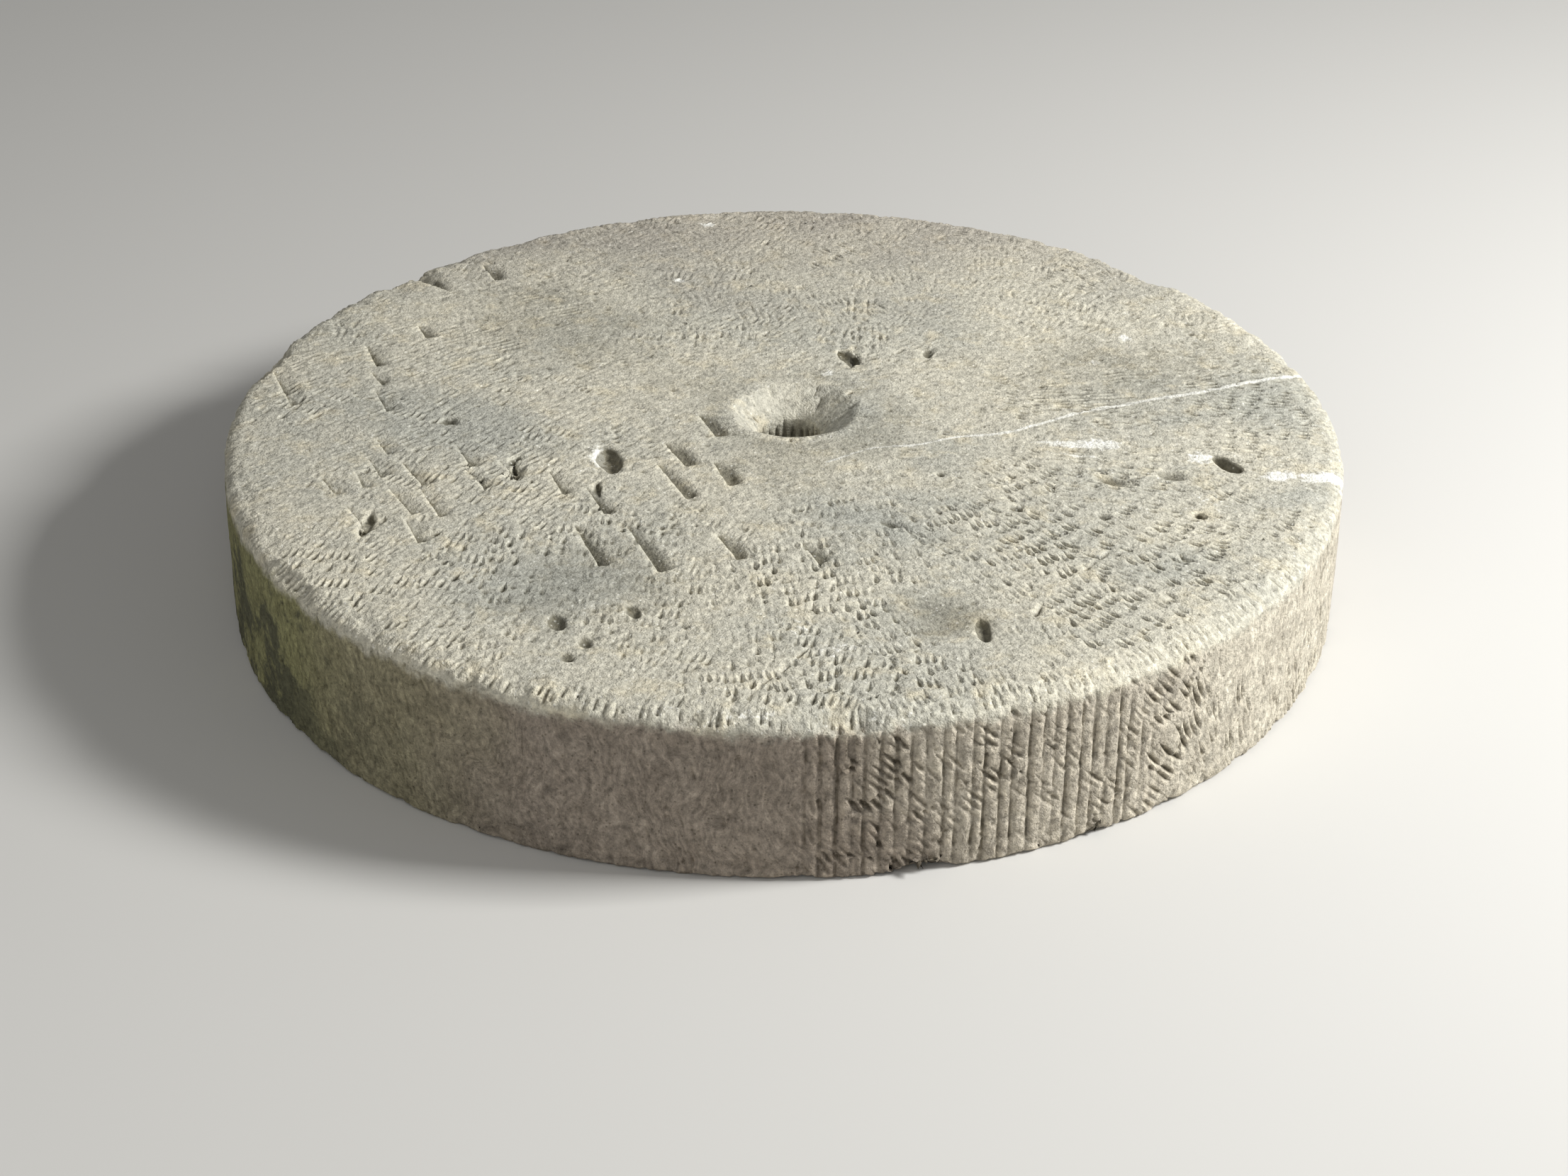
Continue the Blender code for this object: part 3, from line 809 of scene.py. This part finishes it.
def carving_tree(tools):
    """Geometry Nodes that roughen the stone, cut the strokes of a guide into it and store its hollows."""
    tree = bpy.data.node_groups.new("Tool Marked Stone", "GeometryNodeTree")
    for title, socket_type, default in CARVING_INPUTS:
        socket = tree.interface.new_socket(title, in_out="INPUT", socket_type=socket_type)
        if default is not None:
            socket.default_value = default
    tree.interface.new_socket("Geometry", in_out="OUTPUT", socket_type="NodeSocketGeometry")
    tree.is_modifier = True
    given = tree.nodes.new("NodeGroupInput").outputs
    end = tree.nodes.new("NodeGroupOutput")
    place = add(tree, "GeometryNodeInputPosition").outputs[0]
    normal = add(tree, "GeometryNodeInputNormal").outputs[0]

    def carried(name, kind="FLOAT_VECTOR"):
        """A value that the guide's points carry."""
        return add(tree, "GeometryNodeInputNamedAttribute", {"Name": name}, data_type=kind).outputs[0]

    def stored(geometry, name, value, kind="FLOAT"):
        """Stores a value at the points of a geometry as it is now."""
        inputs = {"Geometry": geometry, "Name": name, "Value": value}
        node = add(tree, "GeometryNodeStoreNamedAttribute", inputs, data_type=kind, domain="POINT")
        return node.outputs[0]

    def moved(geometry, distance):
        """Moves the surface along its normal."""
        inputs = {"Geometry": geometry, "Offset": scaled(normal, distance)}
        return add(tree, "GeometryNodeSetPosition", inputs).outputs[0]

    face_fresh, rim_fresh = freshness(place)
    dressed = moved(given["Geometry"], roughened(place, given, tools, face_fresh, rim_fresh))

    # Each stroke is set where its ray meets the surface. The shape that is linked last is the first in the
    # list, so the trough is number 0
    marks = add(tree, "GeometryNodeObjectInfo", {"Object": given["Marks"]}, transform_space="RELATIVE")
    shapes = add(tree, "GeometryNodeJoinGeometry")
    for name in ("Wedge", "Trough"):
        shape = add(tree, "GeometryNodeObjectInfo", {"Object": given[name], "As Instance": True})
        shape.transform_space = "RELATIVE"
        tree.links.new(shape.outputs["Geometry"], shapes.inputs[0])
    ray = {"Source Position": place, "Ray Direction": carried("aim"), "Ray Length": 0.5}
    found = add(tree, "GeometryNodeRaycast", {"Target Geometry": given["Geometry"], **ray})
    laid = stored(marks.outputs["Geometry"], "facing", found.outputs["Hit Normal"], "FLOAT_VECTOR")
    missed = {"Geometry": laid, "Selection": calc("LESS_THAN", found.outputs["Is Hit"], 0.5)}
    kept = add(tree, "GeometryNodeDeleteGeometry", missed, domain="POINT")
    landing = {"Geometry": kept.outputs[0], "Position": found.outputs["Hit Position"]}
    turn = add(
        tree,
        "FunctionNodeAxesToRotation",
        {"Primary Axis": carried("facing"), "Secondary Axis": carried("run")},
        primary_axis="Z",
        secondary_axis="X",
    )
    strokes = add(
        tree,
        "GeometryNodeInstanceOnPoints",
        {
            "Points": add(tree, "GeometryNodeSetPosition", landing).outputs[0],
            "Instance": shapes.outputs[0],
            "Pick Instance": True,
            "Instance Index": carried("kind", "INT"),
            "Rotation": turn.outputs[0],
            "Scale": carried("size"),
        },
    )
    troughs = add(tree, "GeometryNodeRealizeInstances", {"Geometry": strokes.outputs[0]})

    # A point sinks to the deepest floor of a stroke at it, which a ray from inside the stone meets first.
    # The ledge of the low chip is left out, because it is thin
    below = vector_calc("SUBTRACT", place, scaled(normal, given["Reach"]))
    ray = {"Source Position": below, "Ray Direction": normal, "Ray Length": given["Reach"]}
    cut = add(tree, "GeometryNodeRaycast", {"Target Geometry": troughs.outputs[0], **ray})
    depth = times(minus(given["Reach"], cut.outputs["Hit Distance"]), cut.outputs["Is Hit"])
    off_ledge = calc(
        "MAXIMUM",
        calc("GREATER_THAN", split(place)[2], LEDGE_TOP),
        calc("LESS_THAN", split(normal)[2], LEDGE_SLOPE),
    )
    depth = times(depth, off_ledge)

    dressed = stored(dressed, "face_fresh", face_fresh)
    dressed = stored(dressed, "rim_fresh", rim_fresh)
    dressed = stored(dressed, "lime", spread_of(place, LIME_SPLASHES))
    dressed = stored(dressed, "bloom", spread_of(place, GREY_CLOUDS))
    dressed = moved(dressed, times(depth, -1.0))
    # How far each point lies below or above its smoothed surroundings, at a small and a broad reach; the
    # material paints shade into the hollows and a highlight onto the ridges from these
    for name, steps in (("cavity", 5), ("dip", 30)):
        around = {"Value": place, "Iterations": steps}
        blurred = add(tree, "GeometryNodeBlurAttribute", around, data_type="FLOAT_VECTOR").outputs[0]
        sunk = vector_calc("DOT_PRODUCT", vector_calc("SUBTRACT", blurred, place), normal)
        dressed = stored(dressed, name, times(sunk, MILLIMETRES))
    whole = add(tree, "GeometryNodeRealizeInstances", {"Geometry": dressed})
    finish = {"Geometry": whole.outputs[0], "Material": given["Material"]}
    tree.links.new(add(tree, "GeometryNodeSetMaterial", finish).outputs[0], end.inputs[0])
    return tree


def merged_copy(node, name):
    """A copy of a CAD node's mesh with its loose triangles joined."""
    bm = bmesh.new()
    bm.from_mesh(node.data)
    bmesh.ops.remove_doubles(bm, verts=bm.verts, dist=0.00001)
    return mesh_object(name, bm)


def bake_modifiers(obj):
    """Turns an object's modifiers into its mesh."""
    depsgraph = bpy.context.evaluated_depsgraph_get()
    mesh = bpy.data.meshes.new_from_object(obj.evaluated_get(depsgraph))
    obj.modifiers.clear()
    old = obj.data
    obj.data = mesh
    bpy.data.meshes.remove(old)


# The underside proper: below this height, and this far in from the rim
BED_HEIGHT = 0.004
BED_MARGIN = 0.030


def is_hidden(place):
    """Whether a place is on the underside, away from its edge."""
    return place.z < BED_HEIGHT and math.hypot(place.x, place.y) < RADIUS - BED_MARGIN


def thin_out(obj, quads, group=""):
    """Collapses the flattest parts of a mesh of quads until a number of quads' worth of triangles is left."""
    obj.data.calc_loop_triangles()
    thin = obj.modifiers.new("thin", "DECIMATE")
    thin.vertex_group = group
    thin.ratio = min(1.0, 2 * quads / len(obj.data.loop_triangles))
    bake_modifiers(obj)


# Limestone


def spread_of(place, patches):
    """How far inside an oval patch a place is: the patch's strength in its middle, 0 well outside."""
    spread = 0.0
    for u, v, height, along, across, tall, turn, strength in patches:
        shifted = vector_calc("SUBTRACT", place, (u * RADIUS, v * RADIUS, height))
        turned = rotated(shifted, math.radians(-turn))
        away = vector_calc("LENGTH", vector_calc("DIVIDE", turned, (along, across, tall)))
        spread = calc("MAXIMUM", spread, straight(away, 0.0, 2.0, strength, 0.0))
    return spread


# Lime splashes: centre as shares of the radius, height in metres, reach along, across and in height,
# turn in degrees and strength
LIME_SPLASHES = (
    (0.520, -0.064, 0.132, 0.026, 0.0065, 0.010, -8, 0.90),
    (0.560, -0.060, 0.132, 0.017, 0.0080, 0.010, -8, 0.90),
    (0.520, -0.108, 0.132, 0.024, 0.0045, 0.010, -14, 0.60),
    (0.735, -0.112, 0.132, 0.010, 0.0100, 0.010, 0, 0.90),
    (0.862, -0.181, 0.132, 0.014, 0.0080, 0.010, 10, 0.95),
    (0.945, -0.178, 0.130, 0.024, 0.0080, 0.016, 8, 0.95),
    (0.985, -0.205, 0.120, 0.010, 0.0100, 0.022, 0, 0.75),
    (0.725, -0.270, 0.132, 0.020, 0.0120, 0.010, -30, 0.45),
    (0.745, -0.305, 0.132, 0.020, 0.0080, 0.010, -10, 0.50),
    (0.690, -0.300, 0.132, 0.010, 0.0180, 0.010, -20, 0.40),
    (0.028, -0.720, 0.132, 0.012, 0.0160, 0.010, 0, 0.50),
    (0.087, -0.785, 0.132, 0.026, 0.0120, 0.010, 20, 0.50),
    (-0.328, -0.128, 0.130, 0.007, 0.0200, 0.010, 8, 0.90),
    (-0.355, -0.180, 0.133, 0.012, 0.0040, 0.010, 30, 0.50),
    (-0.163, 0.917, 0.132, 0.006, 0.0060, 0.010, 0, 1.00),
    (-0.212, 0.636, 0.132, 0.004, 0.0040, 0.010, 0, 1.00),
    (0.643, 0.390, 0.132, 0.006, 0.0060, 0.010, 0, 0.90),
    (0.081, 0.227, 0.132, 0.005, 0.0050, 0.010, 0, 0.90),
    (0.578, 0.285, 0.132, 0.004, 0.0040, 0.010, 0, 0.90),
    (-0.200, -0.965, 0.128, 0.030, 0.0080, 0.010, 5, 0.45),
    (-0.060, -0.975, 0.127, 0.040, 0.0070, 0.012, 2, 0.50),
    (0.160, -0.968, 0.127, 0.036, 0.0070, 0.012, 8, 0.45),
    (-0.620, -0.770, 0.128, 0.030, 0.0080, 0.012, -38, 0.40),
    (-0.880, -0.440, 0.129, 0.030, 0.0080, 0.012, -62, 0.35),
)

# Course of the lime vein over the face, x then y as shares of the radius
VEIN = (
    (0.00, -0.190), (0.09, -0.122), (0.16, -0.075), (0.234, -0.066), (0.30, -0.036), (0.38, -0.020),
    (0.46, 0.022), (0.50, 0.049), (0.567, 0.085), (0.621, 0.106), (0.688, 0.134), (0.755, 0.155),
    (0.822, 0.186), (0.877, 0.209), (0.943, 0.236), (1.00, 0.262),
)
# What is added to the vein's y so that it stays above 0, where the curve begins
VEIN_LIFT = 0.3

# Clouds of grey stain, in the same columns as the splashes
GREY_CLOUDS = (
    (0.148, -0.355, 0.132, 0.060, 0.022, 0.030, -35, 0.75),
    (-0.370, -0.587, 0.132, 0.070, 0.040, 0.030, 10, 0.70),
    (0.642, -0.504, 0.132, 0.050, 0.026, 0.030, 30, 0.60),
    (0.250, -0.280, 0.132, 0.070, 0.014, 0.030, -15, 0.55),
    (-0.600, 0.010, 0.132, 0.070, 0.040, 0.030, -25, 0.95),
    (0.700, 0.040, 0.132, 0.060, 0.016, 0.030, 20, 0.45),
    (-0.270, -0.400, 0.132, 0.060, 0.030, 0.030, 20, 0.45),
    (0.120, 0.060, 0.132, 0.050, 0.060, 0.030, 0, 0.45),
    (0.880, 0.120, 0.132, 0.040, 0.060, 0.030, 0, 0.70),
    (0.900, -0.250, 0.132, 0.050, 0.020, 0.030, 30, 0.60),
)

# Colour round the rim: azimuth in degrees and the colour's name
RIM_STOPS = (
    (0, "cream_grey"), (20, "back"), (170, "back"), (188, "rim_green"),
    (212, "rim_green"), (228, "green_brown"), (248, "rim_brown"), (276, "rim_brown"),
    (287, "brown_cream"), (304, "cream_dull"), (318, "rim_cream"), (345, "rim_cream"),
    (352, "cream_grey"),
)


def blend_of(a, b, share):
    return tuple(x + (y - x) * share for x, y in zip(a, b))


# The part of the rim that has furrows, in degrees of azimuth, and half the width of a furrow's bottom as a
# share of it
FURROWS_START = 270
FURROWS_SPAN = 40
BOTTOM_HALF = 0.0075


def furrow_lines(place):
    """Depth, 0 to about 1, of the narrow bottoms of the rim's upright furrows."""
    x, y, z = split(place)
    turn = plus(calc("ARCTAN2", y, x), swing(noise(place, 24.0, 3.0, 0.6), 0.010))
    start = FURROWS_START - 360
    share = straight(turn, math.radians(start), math.radians(start + FURROWS_SPAN))
    spots = [(0.0, 0.0), (1.0, 0.0)]
    for degrees, millimetres in FURROWS:
        at = (degrees - FURROWS_START) / FURROWS_SPAN
        deep = min(1.0, millimetres / DEEPEST_FURROW)
        spots += [(at - BOTTOM_HALF, 0.0), (at, deep), (at + BOTTOM_HALF, 0.0)]
    bottoms = curve_through(share, sorted(spots), "VECTOR")
    patchy = between(noise(joined(times(turn, 0.45), times(z, 0.4)), 60.0), 0.38, 0.58)
    below = between(z, THICKNESS - 0.022, THICKNESS - 0.010, 1.0, 0.0)
    return times(times(bottoms, patchy), below)


def rim_colour(colours, azimuth):
    """Colour of the rim at an azimuth, which is given as a share of the full turn."""
    named = {
        "rim_green": colours.rim_green,
        "rim_brown": colours.rim_brown,
        "rim_cream": colours.rim_cream,
        "green_brown": blend_of(colours.rim_green, colours.rim_brown, 0.5),
        "brown_cream": blend_of(colours.rim_brown, colours.rim_cream, 0.60),
        "cream_dull": blend_of(colours.rim_brown, colours.rim_cream, 0.72),
        "cream_grey": blend_of(colours.face_brown, colours.rim_cream, 0.5),
        "back": colours.face_brown,
    }
    ramp = add(tree_of(azimuth), "ShaderNodeValToRGB", {0: azimuth})
    ramp.color_ramp.interpolation = "EASE"
    while len(ramp.color_ramp.elements) < len(RIM_STOPS):
        ramp.color_ramp.elements.new(0.5)
    for element, (degrees, name) in zip(ramp.color_ramp.elements, RIM_STOPS):
        element.position = degrees / 360
        element.color = (*named[name], 1.0)
    return ramp.outputs[0]


def limestone(colours, tools):
    """Weathered limestone, with the growth, stains and lime that lie on it, painted shade in its hollows,
    strokes, cuts and eye, and a painted highlight on its ridges.
    """
    material = bpy.data.materials.new("limestone")
    material.use_nodes = True
    tree = material.node_tree
    shader = tree.nodes["Principled BSDF"]
    place = add(tree, "ShaderNodeTexCoord").outputs["Object"]
    x, y, z = split(place)
    flat = joined(x, y)
    r = vector_calc("LENGTH", flat)

    def carried(name):
        """A value that the carving stored at the points of the mesh."""
        return add(tree, "ShaderNodeAttribute", attribute_name=name).outputs["Fac"]

    cloud = noise(place, 7.0, 4.0, 0.55)
    mottle = noise(place, 38.0, 5.0, 0.62)
    fleck = noise(place, 210.0, 4.0, 0.65)
    grain = noise(place, 900.0, 2.0, 0.6)
    ragged = noise(place, 150.0, 6.0, 0.75)

    # Face, from beige to grey clouds, and browner towards the back
    colour = mixed(between(cloud, 0.38, 0.66), colours.face, colours.face_grey)
    colour = mixed(0.55, colours.face, colour)
    warm = tuple(c * k for c, k in zip(colours.face, (1.10, 1.04, 0.92)))
    colour = mixed(times(between(mottle, 0.48, 0.72), 0.6), colour, warm)
    back = between(plus(y, swing(cloud, 0.35)), 0.20, 0.52)
    colour = mixed(times(back, 0.72), colour, colours.face_brown)
    bloom = plus(carried("bloom"), swing(ragged, 0.8))
    colour = mixed(between(bloom, 0.15, 0.60, 0.0, 0.75), colour, colours.face_grey)

    # Rim, whose colour goes round with the azimuth
    azimuth = calc("DIVIDE", calc("ARCTAN2", y, x), 2 * math.pi)
    azimuth = plus(calc("FRACT", plus(azimuth, 1.0)), swing(cloud, 0.06))
    rim = rim_colour(colours, azimuth)
    rim = mixed(times(between(mottle, 0.35, 0.65), 0.45), rim, tinted(rim, (0.62, 0.60, 0.58)))
    upright = joined(times(azimuth, 5.0), times(z, 0.5))
    streaks = straight(noise(upright, 130.0, 3.0, 0.65), 0.32, 0.68, 0.66, 1.22)
    rim = tinted(rim, grey(streaks))
    leftward = times(between(azimuth, 0.50, 0.54), between(azimuth, 0.58, 0.66, 1.0, 0.0))
    low = between(z, 0.02, 0.10, 0.09, -0.02)
    grown = between(plus(noise(place, 22.0, 5.0, 0.7), low), 0.50, 0.60)
    rim = mixed(times(times(grown, leftward), 0.85), rim, colours.growth)
    edge = plus(z, swing(noise(place, 42.0, 5.0, 0.70), 0.030))
    on_rim = times(between(edge, THICKNESS - 0.020, THICKNESS - 0.009, 1.0, 0.0), between(r, 0.30, 0.34))
    colour = mixed(on_rim, colour, rim)

    # Lime in the vein and in splashes
    course = curve_through(calc("DIVIDE", x, RADIUS), [(px, py + VEIN_LIFT) for px, py in VEIN])
    course = times(minus(course, VEIN_LIFT), RADIUS)
    off = calc("ABSOLUTE", plus(minus(y, course), swing(ragged, 0.006)))
    width = between(x, 0.08, 0.26, 0.0015, 0.0025)
    vein = between(calc("DIVIDE", off, width), 0.7, 1.2, 1.0, 0.0)
    gap_ends = (between(x, 0.14, 0.27, 0.42, 0.30), between(x, 0.14, 0.27, 0.50, 0.40))
    broken = between(noise(place, 26.0, 3.0, 0.6), *gap_ends)
    reach = times(between(x, 0.00, 0.03), between(z, 0.10, 0.12))
    vein = times(times(vein, broken), reach)
    splash = between(plus(carried("lime"), swing(ragged, 1.5)), 0.38, 0.60)
    lime = calc("MAXIMUM", times(vein, 0.85), splash)
    colour = mixed(times(lime, 0.85), colour, colours.lime)

    # Painted shade in hollows, strokes, furrows, cuts and the eye, partly dirt in the small hollows, a
    # painted highlight on ridges, and the stone's own specks and flecks
    cavity = carried("cavity")
    hollow = straight(cavity, 0.10, 0.90)
    ridge = straight(cavity, -0.08, -0.45)
    deep = straight(carried("dip"), 0.8, 3.2)
    # Tints for painted shade that also stands for dirt, for deeper painted shade and dark specks, and for a
    # painted highlight
    dirt_and_shade = tinted(colour, (0.40, 0.38, 0.33))
    dark = tinted(colour, (0.24, 0.23, 0.19))
    ridge_highlight = tinted(colour, (1.30, 1.29, 1.25))
    # Painted shade in small hollows, partly dirt that settles there, patchy with the mottle
    hollow_dirt_and_shade = times(hollow, between(mottle, 0.30, 0.62, 0.45, 0.95))
    colour = mixed(hollow_dirt_and_shade, colour, dirt_and_shade)
    tooled = tooling(place, carried("face_fresh"), carried("rim_fresh"), tools)
    lines = furrow_lines(place)
    # Painted shade along the bottoms of the chisel's strokes and of the rim's furrows, in the same tint as
    # the hollows
    inside = calc("MAXIMUM", straight(tooled, 0.10, 0.70, 0.0, 0.52), straight(lines, 0.10, 0.80, 0.0, 0.60))
    colour = mixed(inside, colour, dirt_and_shade)
    from_eye = vector_calc("DISTANCE", flat, EYE_CENTRE)
    # Painted shade on the floors of cuts that sink about 3 mm or more below the face, such as the flat
    # chisel's gouges, away from the rim and the eye
    sunk = straight(z, THICKNESS - 0.0028, THICKNESS - 0.0052, 0.0, 0.80)
    sunk = times(sunk, between(r, RADIUS - 0.030, RADIUS - 0.022, 1.0, 0.0))
    sunk = times(sunk, between(from_eye, EYE_LIP, EYE_LIP + 0.008))
    colour = mixed(sunk, colour, dark)
    # Painted shade down the eye's shaft, deeper below the face
    inner = between(z, THICKNESS - 0.024, THICKNESS - 0.040, 0.0, 0.80)
    inner = times(inner, between(from_eye, 0.036, 0.046, 1.0, 0.0))
    colour = mixed(inner, colour, dark)
    # Painted shade in broad hollows
    colour = mixed(times(deep, 0.75), colour, dark)
    # Painted highlight on ridges
    colour = mixed(times(ridge, 0.55), colour, ridge_highlight)
    speck = add(tree, "ShaderNodeTexVoronoi", {"Vector": place, "Scale": 430.0})
    chance = add(tree, "ShaderNodeSeparateColor", {0: speck.outputs["Color"]}).outputs[0]
    dot = between(speck.outputs["Distance"], 0.25, 0.50, 1.0, 0.0)
    pale = times(times(dot, calc("GREATER_THAN", chance, 0.94)), minus(1.0, on_rim))
    sooty = times(dot, calc("LESS_THAN", chance, 0.07))
    colour = mixed(times(pale, 0.45), colour, colours.lime)
    colour = mixed(times(sooty, 0.50), colour, dark)
    coarse = straight(fleck, 0.28, 0.72, 0.64, 1.28)
    coarse = times(coarse, straight(ragged, 0.34, 0.50, 0.78, 1.04))
    tone = grey(plus(coarse, straight(grain, 0.3, 0.7, -0.13, 0.13)))
    colour = mixed(minus(1.0, times(lime, 0.6)), colour, tone, "MULTIPLY")
    tree.links.new(colour, shader.inputs["Base Color"])

    # Grain that is finer than the mesh, and sharper strokes
    height = times(noise(place, 150.0, 3.0, 0.70), 0.0016)
    height = plus(height, times(noise(place, 300.0, 3.0, 0.65), 0.0012))
    height = minus(height, times(tooled, tools.crispness))
    height = minus(height, times(lines, 0.0012))
    height = plus(height, times(grain, 0.00035))
    bump = add(tree, "ShaderNodeBump", {"Strength": 0.85, "Distance": 1.0, "Height": height})
    tree.links.new(bump.outputs[0], shader.inputs["Normal"])
    shader.inputs["Roughness"].default_value = 0.93
    shader.inputs["Specular IOR Level"].default_value = 0.25
    return material


# Operators


class MILLSTONE_OT_stone(bpy.types.Operator):
    """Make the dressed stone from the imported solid, with its tool marks cut into the mesh"""

    bl_idname = "millstone.stone"
    bl_label = "Dressed Stone"
    bl_options = {"REGISTER", "UNDO"}

    def execute(self, context):
        sizes = context.scene.millstone_sizes
        tools = context.scene.millstone_tools
        rng = random.Random(tools.seed)
        marks = MarkList()
        raked_fields(marks, tools, rng)
        gouges(marks, tools, rng)
        rim_furrows(marks, tools, rng)
        edge_strokes(marks, tools, rng)
        eye_strokes(marks, tools, rng)
        underside_strokes(marks, tools, rng)
        scored_lines(marks)
        guide = marks.guide("stroke_guide")
        trough = trough_shape("trough_shape")
        wedge = wedge_shape("wedge_shape")

        stone = merged_copy(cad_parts["millstone"], "dressed_stone")
        remesh = stone.modifiers.new("even mesh", "REMESH")
        remesh.mode = "VOXEL"
        remesh.voxel_size = sizes.voxel
        carving = stone.modifiers.new("tool marks", "NODES")
        carving.node_group = carving_tree(tools)
        set_inputs(
            carving,
            {
                "Marks": guide,
                "Trough": trough,
                "Wedge": wedge,
                "Stroke Depth": tools.depth,
                "Unevenness": sizes.unevenness,
                "Roughness": sizes.roughness,
                "Edge Chipping": sizes.edge_chipping,
                "Pit Depth": sizes.pit_depth,
                "Seed": float(tools.seed),
                "Material": limestone(context.scene.millstone_colours, tools),
            },
        )
        bake_modifiers(stone)
        hidden = stone.vertex_groups.new(name="hidden")
        hidden.add([v.index for v in stone.data.vertices if is_hidden(v.co)], 1.0, "REPLACE")
        low = sum(1 for face in stone.data.polygons if is_hidden(face.center))
        thin_out(stone, len(stone.data.polygons) - low + sizes.hidden_triangles / 2, hidden.name)
        stone.vertex_groups.clear()
        thin_out(stone, sizes.triangles / 2)
        for helper in (guide, trough, wedge):
            bpy.data.objects.remove(helper, do_unlink=True)
        stone.data.shade_smooth()
        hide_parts("millstone")
        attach(stone, "root")
        return {"FINISHED"}


class MILLSTONE_OT_stage(bpy.types.Operator):
    """Set the floor, the soft lights and the camera round the stone"""

    bl_idname = "millstone.stage"
    bl_label = "Floor, Light and Camera"
    bl_options = {"REGISTER", "UNDO"}

    def execute(self, context):
        look = context.scene.millstone_stage
        make_floor(look)
        aim = Vector((0, 0, THICKNESS / 2))
        area_light("key_light", aim, azimuth=-6, size=0.8, power=look.key)
        area_light("fill_light", aim, azimuth=-105, size=2.4, power=look.fill)
        world = bpy.data.worlds.new("even_light")
        world.use_nodes = True
        background = world.node_tree.nodes["Background"]
        background.inputs["Color"].default_value = (1.0, 1.0, 0.99, 1.0)
        background.inputs["Strength"].default_value = look.sky
        context.scene.world = world
        context.scene.view_settings.view_transform = "Standard"
        make_camera()
        return {"FINISHED"}


# The floor's radius, and how far it lies below the solid, so that the rough underside stays above it
FLOOR_RADIUS = 9.0
FLOOR_GAP = 0.0006


def make_floor(look):
    bm = bmesh.new()
    bmesh.ops.create_circle(bm, cap_ends=True, segments=96, radius=FLOOR_RADIUS)
    floor = mesh_object("floor", bm)
    floor.data.transform(Matrix.Translation((0, 0, LOW.z - FLOOR_GAP)))
    paint = bpy.data.materials.new("studio_floor")
    paint.use_nodes = True
    shader = paint.node_tree.nodes["Principled BSDF"]
    shader.inputs["Base Color"].default_value = (*look.floor, 1.0)
    shader.inputs["Roughness"].default_value = 0.9
    shader.inputs["Specular IOR Level"].default_value = 0.1
    floor.data.materials.append(paint)


# How high and how far away both lights stand
LIGHT_ELEVATION = 35
LIGHT_DISTANCE = 3.2


def area_light(name, aim, azimuth, size, power):
    """A square soft light that looks at a point from an azimuth in degrees."""
    a = math.radians(azimuth)
    e = math.radians(LIGHT_ELEVATION)
    away = Vector((math.cos(a) * math.cos(e), math.sin(a) * math.cos(e), math.sin(e)))
    data = bpy.data.lights.new(name, "AREA")
    data.shape = "SQUARE"
    data.size = size
    data.energy = power
    lamp = new_object(name, data)
    lamp.location = aim + away * LIGHT_DISTANCE
    lamp.rotation_euler = away.to_track_quat("Z", "Y").to_euler()


# Camera, fitted to the outline: elevation and corrections in degrees, distance in radii, lens in pixels
CAMERA_ELEVATION = 26.550
CAMERA_DISTANCE = 5.670
CAMERA_TILT = -2.975
CAMERA_PAN = -0.006
CAMERA_ROLL = -0.490
LENS_PIXELS = 4449.5
PHOTO_WIDTH = 2212
SENSOR = 36.0


def make_camera():
    """The photograph's view: the lens looks at the middle of the face and is then corrected."""
    e = math.radians(CAMERA_ELEVATION)
    eye = Vector((0, -math.cos(e), math.sin(e))) * CAMERA_DISTANCE
    ahead = -eye.normalized()
    right = Vector((1, 0, 0))
    up = right.cross(ahead)
    tilt = Matrix.Rotation(math.radians(CAMERA_TILT), 3, right)
    ahead, up = tilt @ ahead, tilt @ up
    pan = Matrix.Rotation(math.radians(CAMERA_PAN), 3, up)
    ahead, right = pan @ ahead, pan @ right
    roll = Matrix.Rotation(math.radians(CAMERA_ROLL), 3, ahead)
    right, up = roll @ right, roll @ up
    matrix = Matrix((right, up, -ahead)).transposed().to_4x4()
    matrix.translation = eye * RADIUS + Vector((0, 0, THICKNESS))
    data = bpy.data.cameras.new("photo_camera")
    data.sensor_fit = "HORIZONTAL"
    data.sensor_width = SENSOR
    data.lens = LENS_PIXELS * SENSOR / PHOTO_WIDTH
    camera = new_object("photo_camera", data)
    camera.matrix_world = matrix
    bpy.context.scene.camera = camera


class MILLSTONE_PT_panel(bpy.types.Panel):
    """Steps and settings of the millstone"""

    bl_idname = "MILLSTONE_PT_panel"
    bl_label = "Millstone"
    bl_space_type = "VIEW_3D"
    bl_region_type = "UI"
    bl_category = "Millstone"

    def draw(self, context):
        layout = self.layout
        for operator in OPERATORS:
            layout.operator(operator.bl_idname)
        for name in SETTINGS:
            group = getattr(context.scene, name)
            box = layout.box()
            for title in group.__annotations__:
                box.prop(group, title)


SETTINGS = {
    "millstone_sizes": StoneSizes,
    "millstone_tools": ToolMarks,
    "millstone_colours": StoneColours,
    "millstone_stage": StageLook,
}
OPERATORS = (MILLSTONE_OT_stone, MILLSTONE_OT_stage)
CLASSES = (*SETTINGS.values(), *OPERATORS, MILLSTONE_PT_panel)


def register():
    for cls in CLASSES:
        bpy.utils.register_class(cls)
    for name, cls in SETTINGS.items():
        setattr(bpy.types.Scene, name, PointerProperty(type=cls))


def unregister():
    for name in SETTINGS:
        delattr(bpy.types.Scene, name)
    for cls in reversed(CLASSES):
        bpy.utils.unregister_class(cls)


def main():
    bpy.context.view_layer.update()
    register()
    bpy.ops.millstone.stone()
    bpy.ops.millstone.stage()


if __name__ == "__main__":
    main()
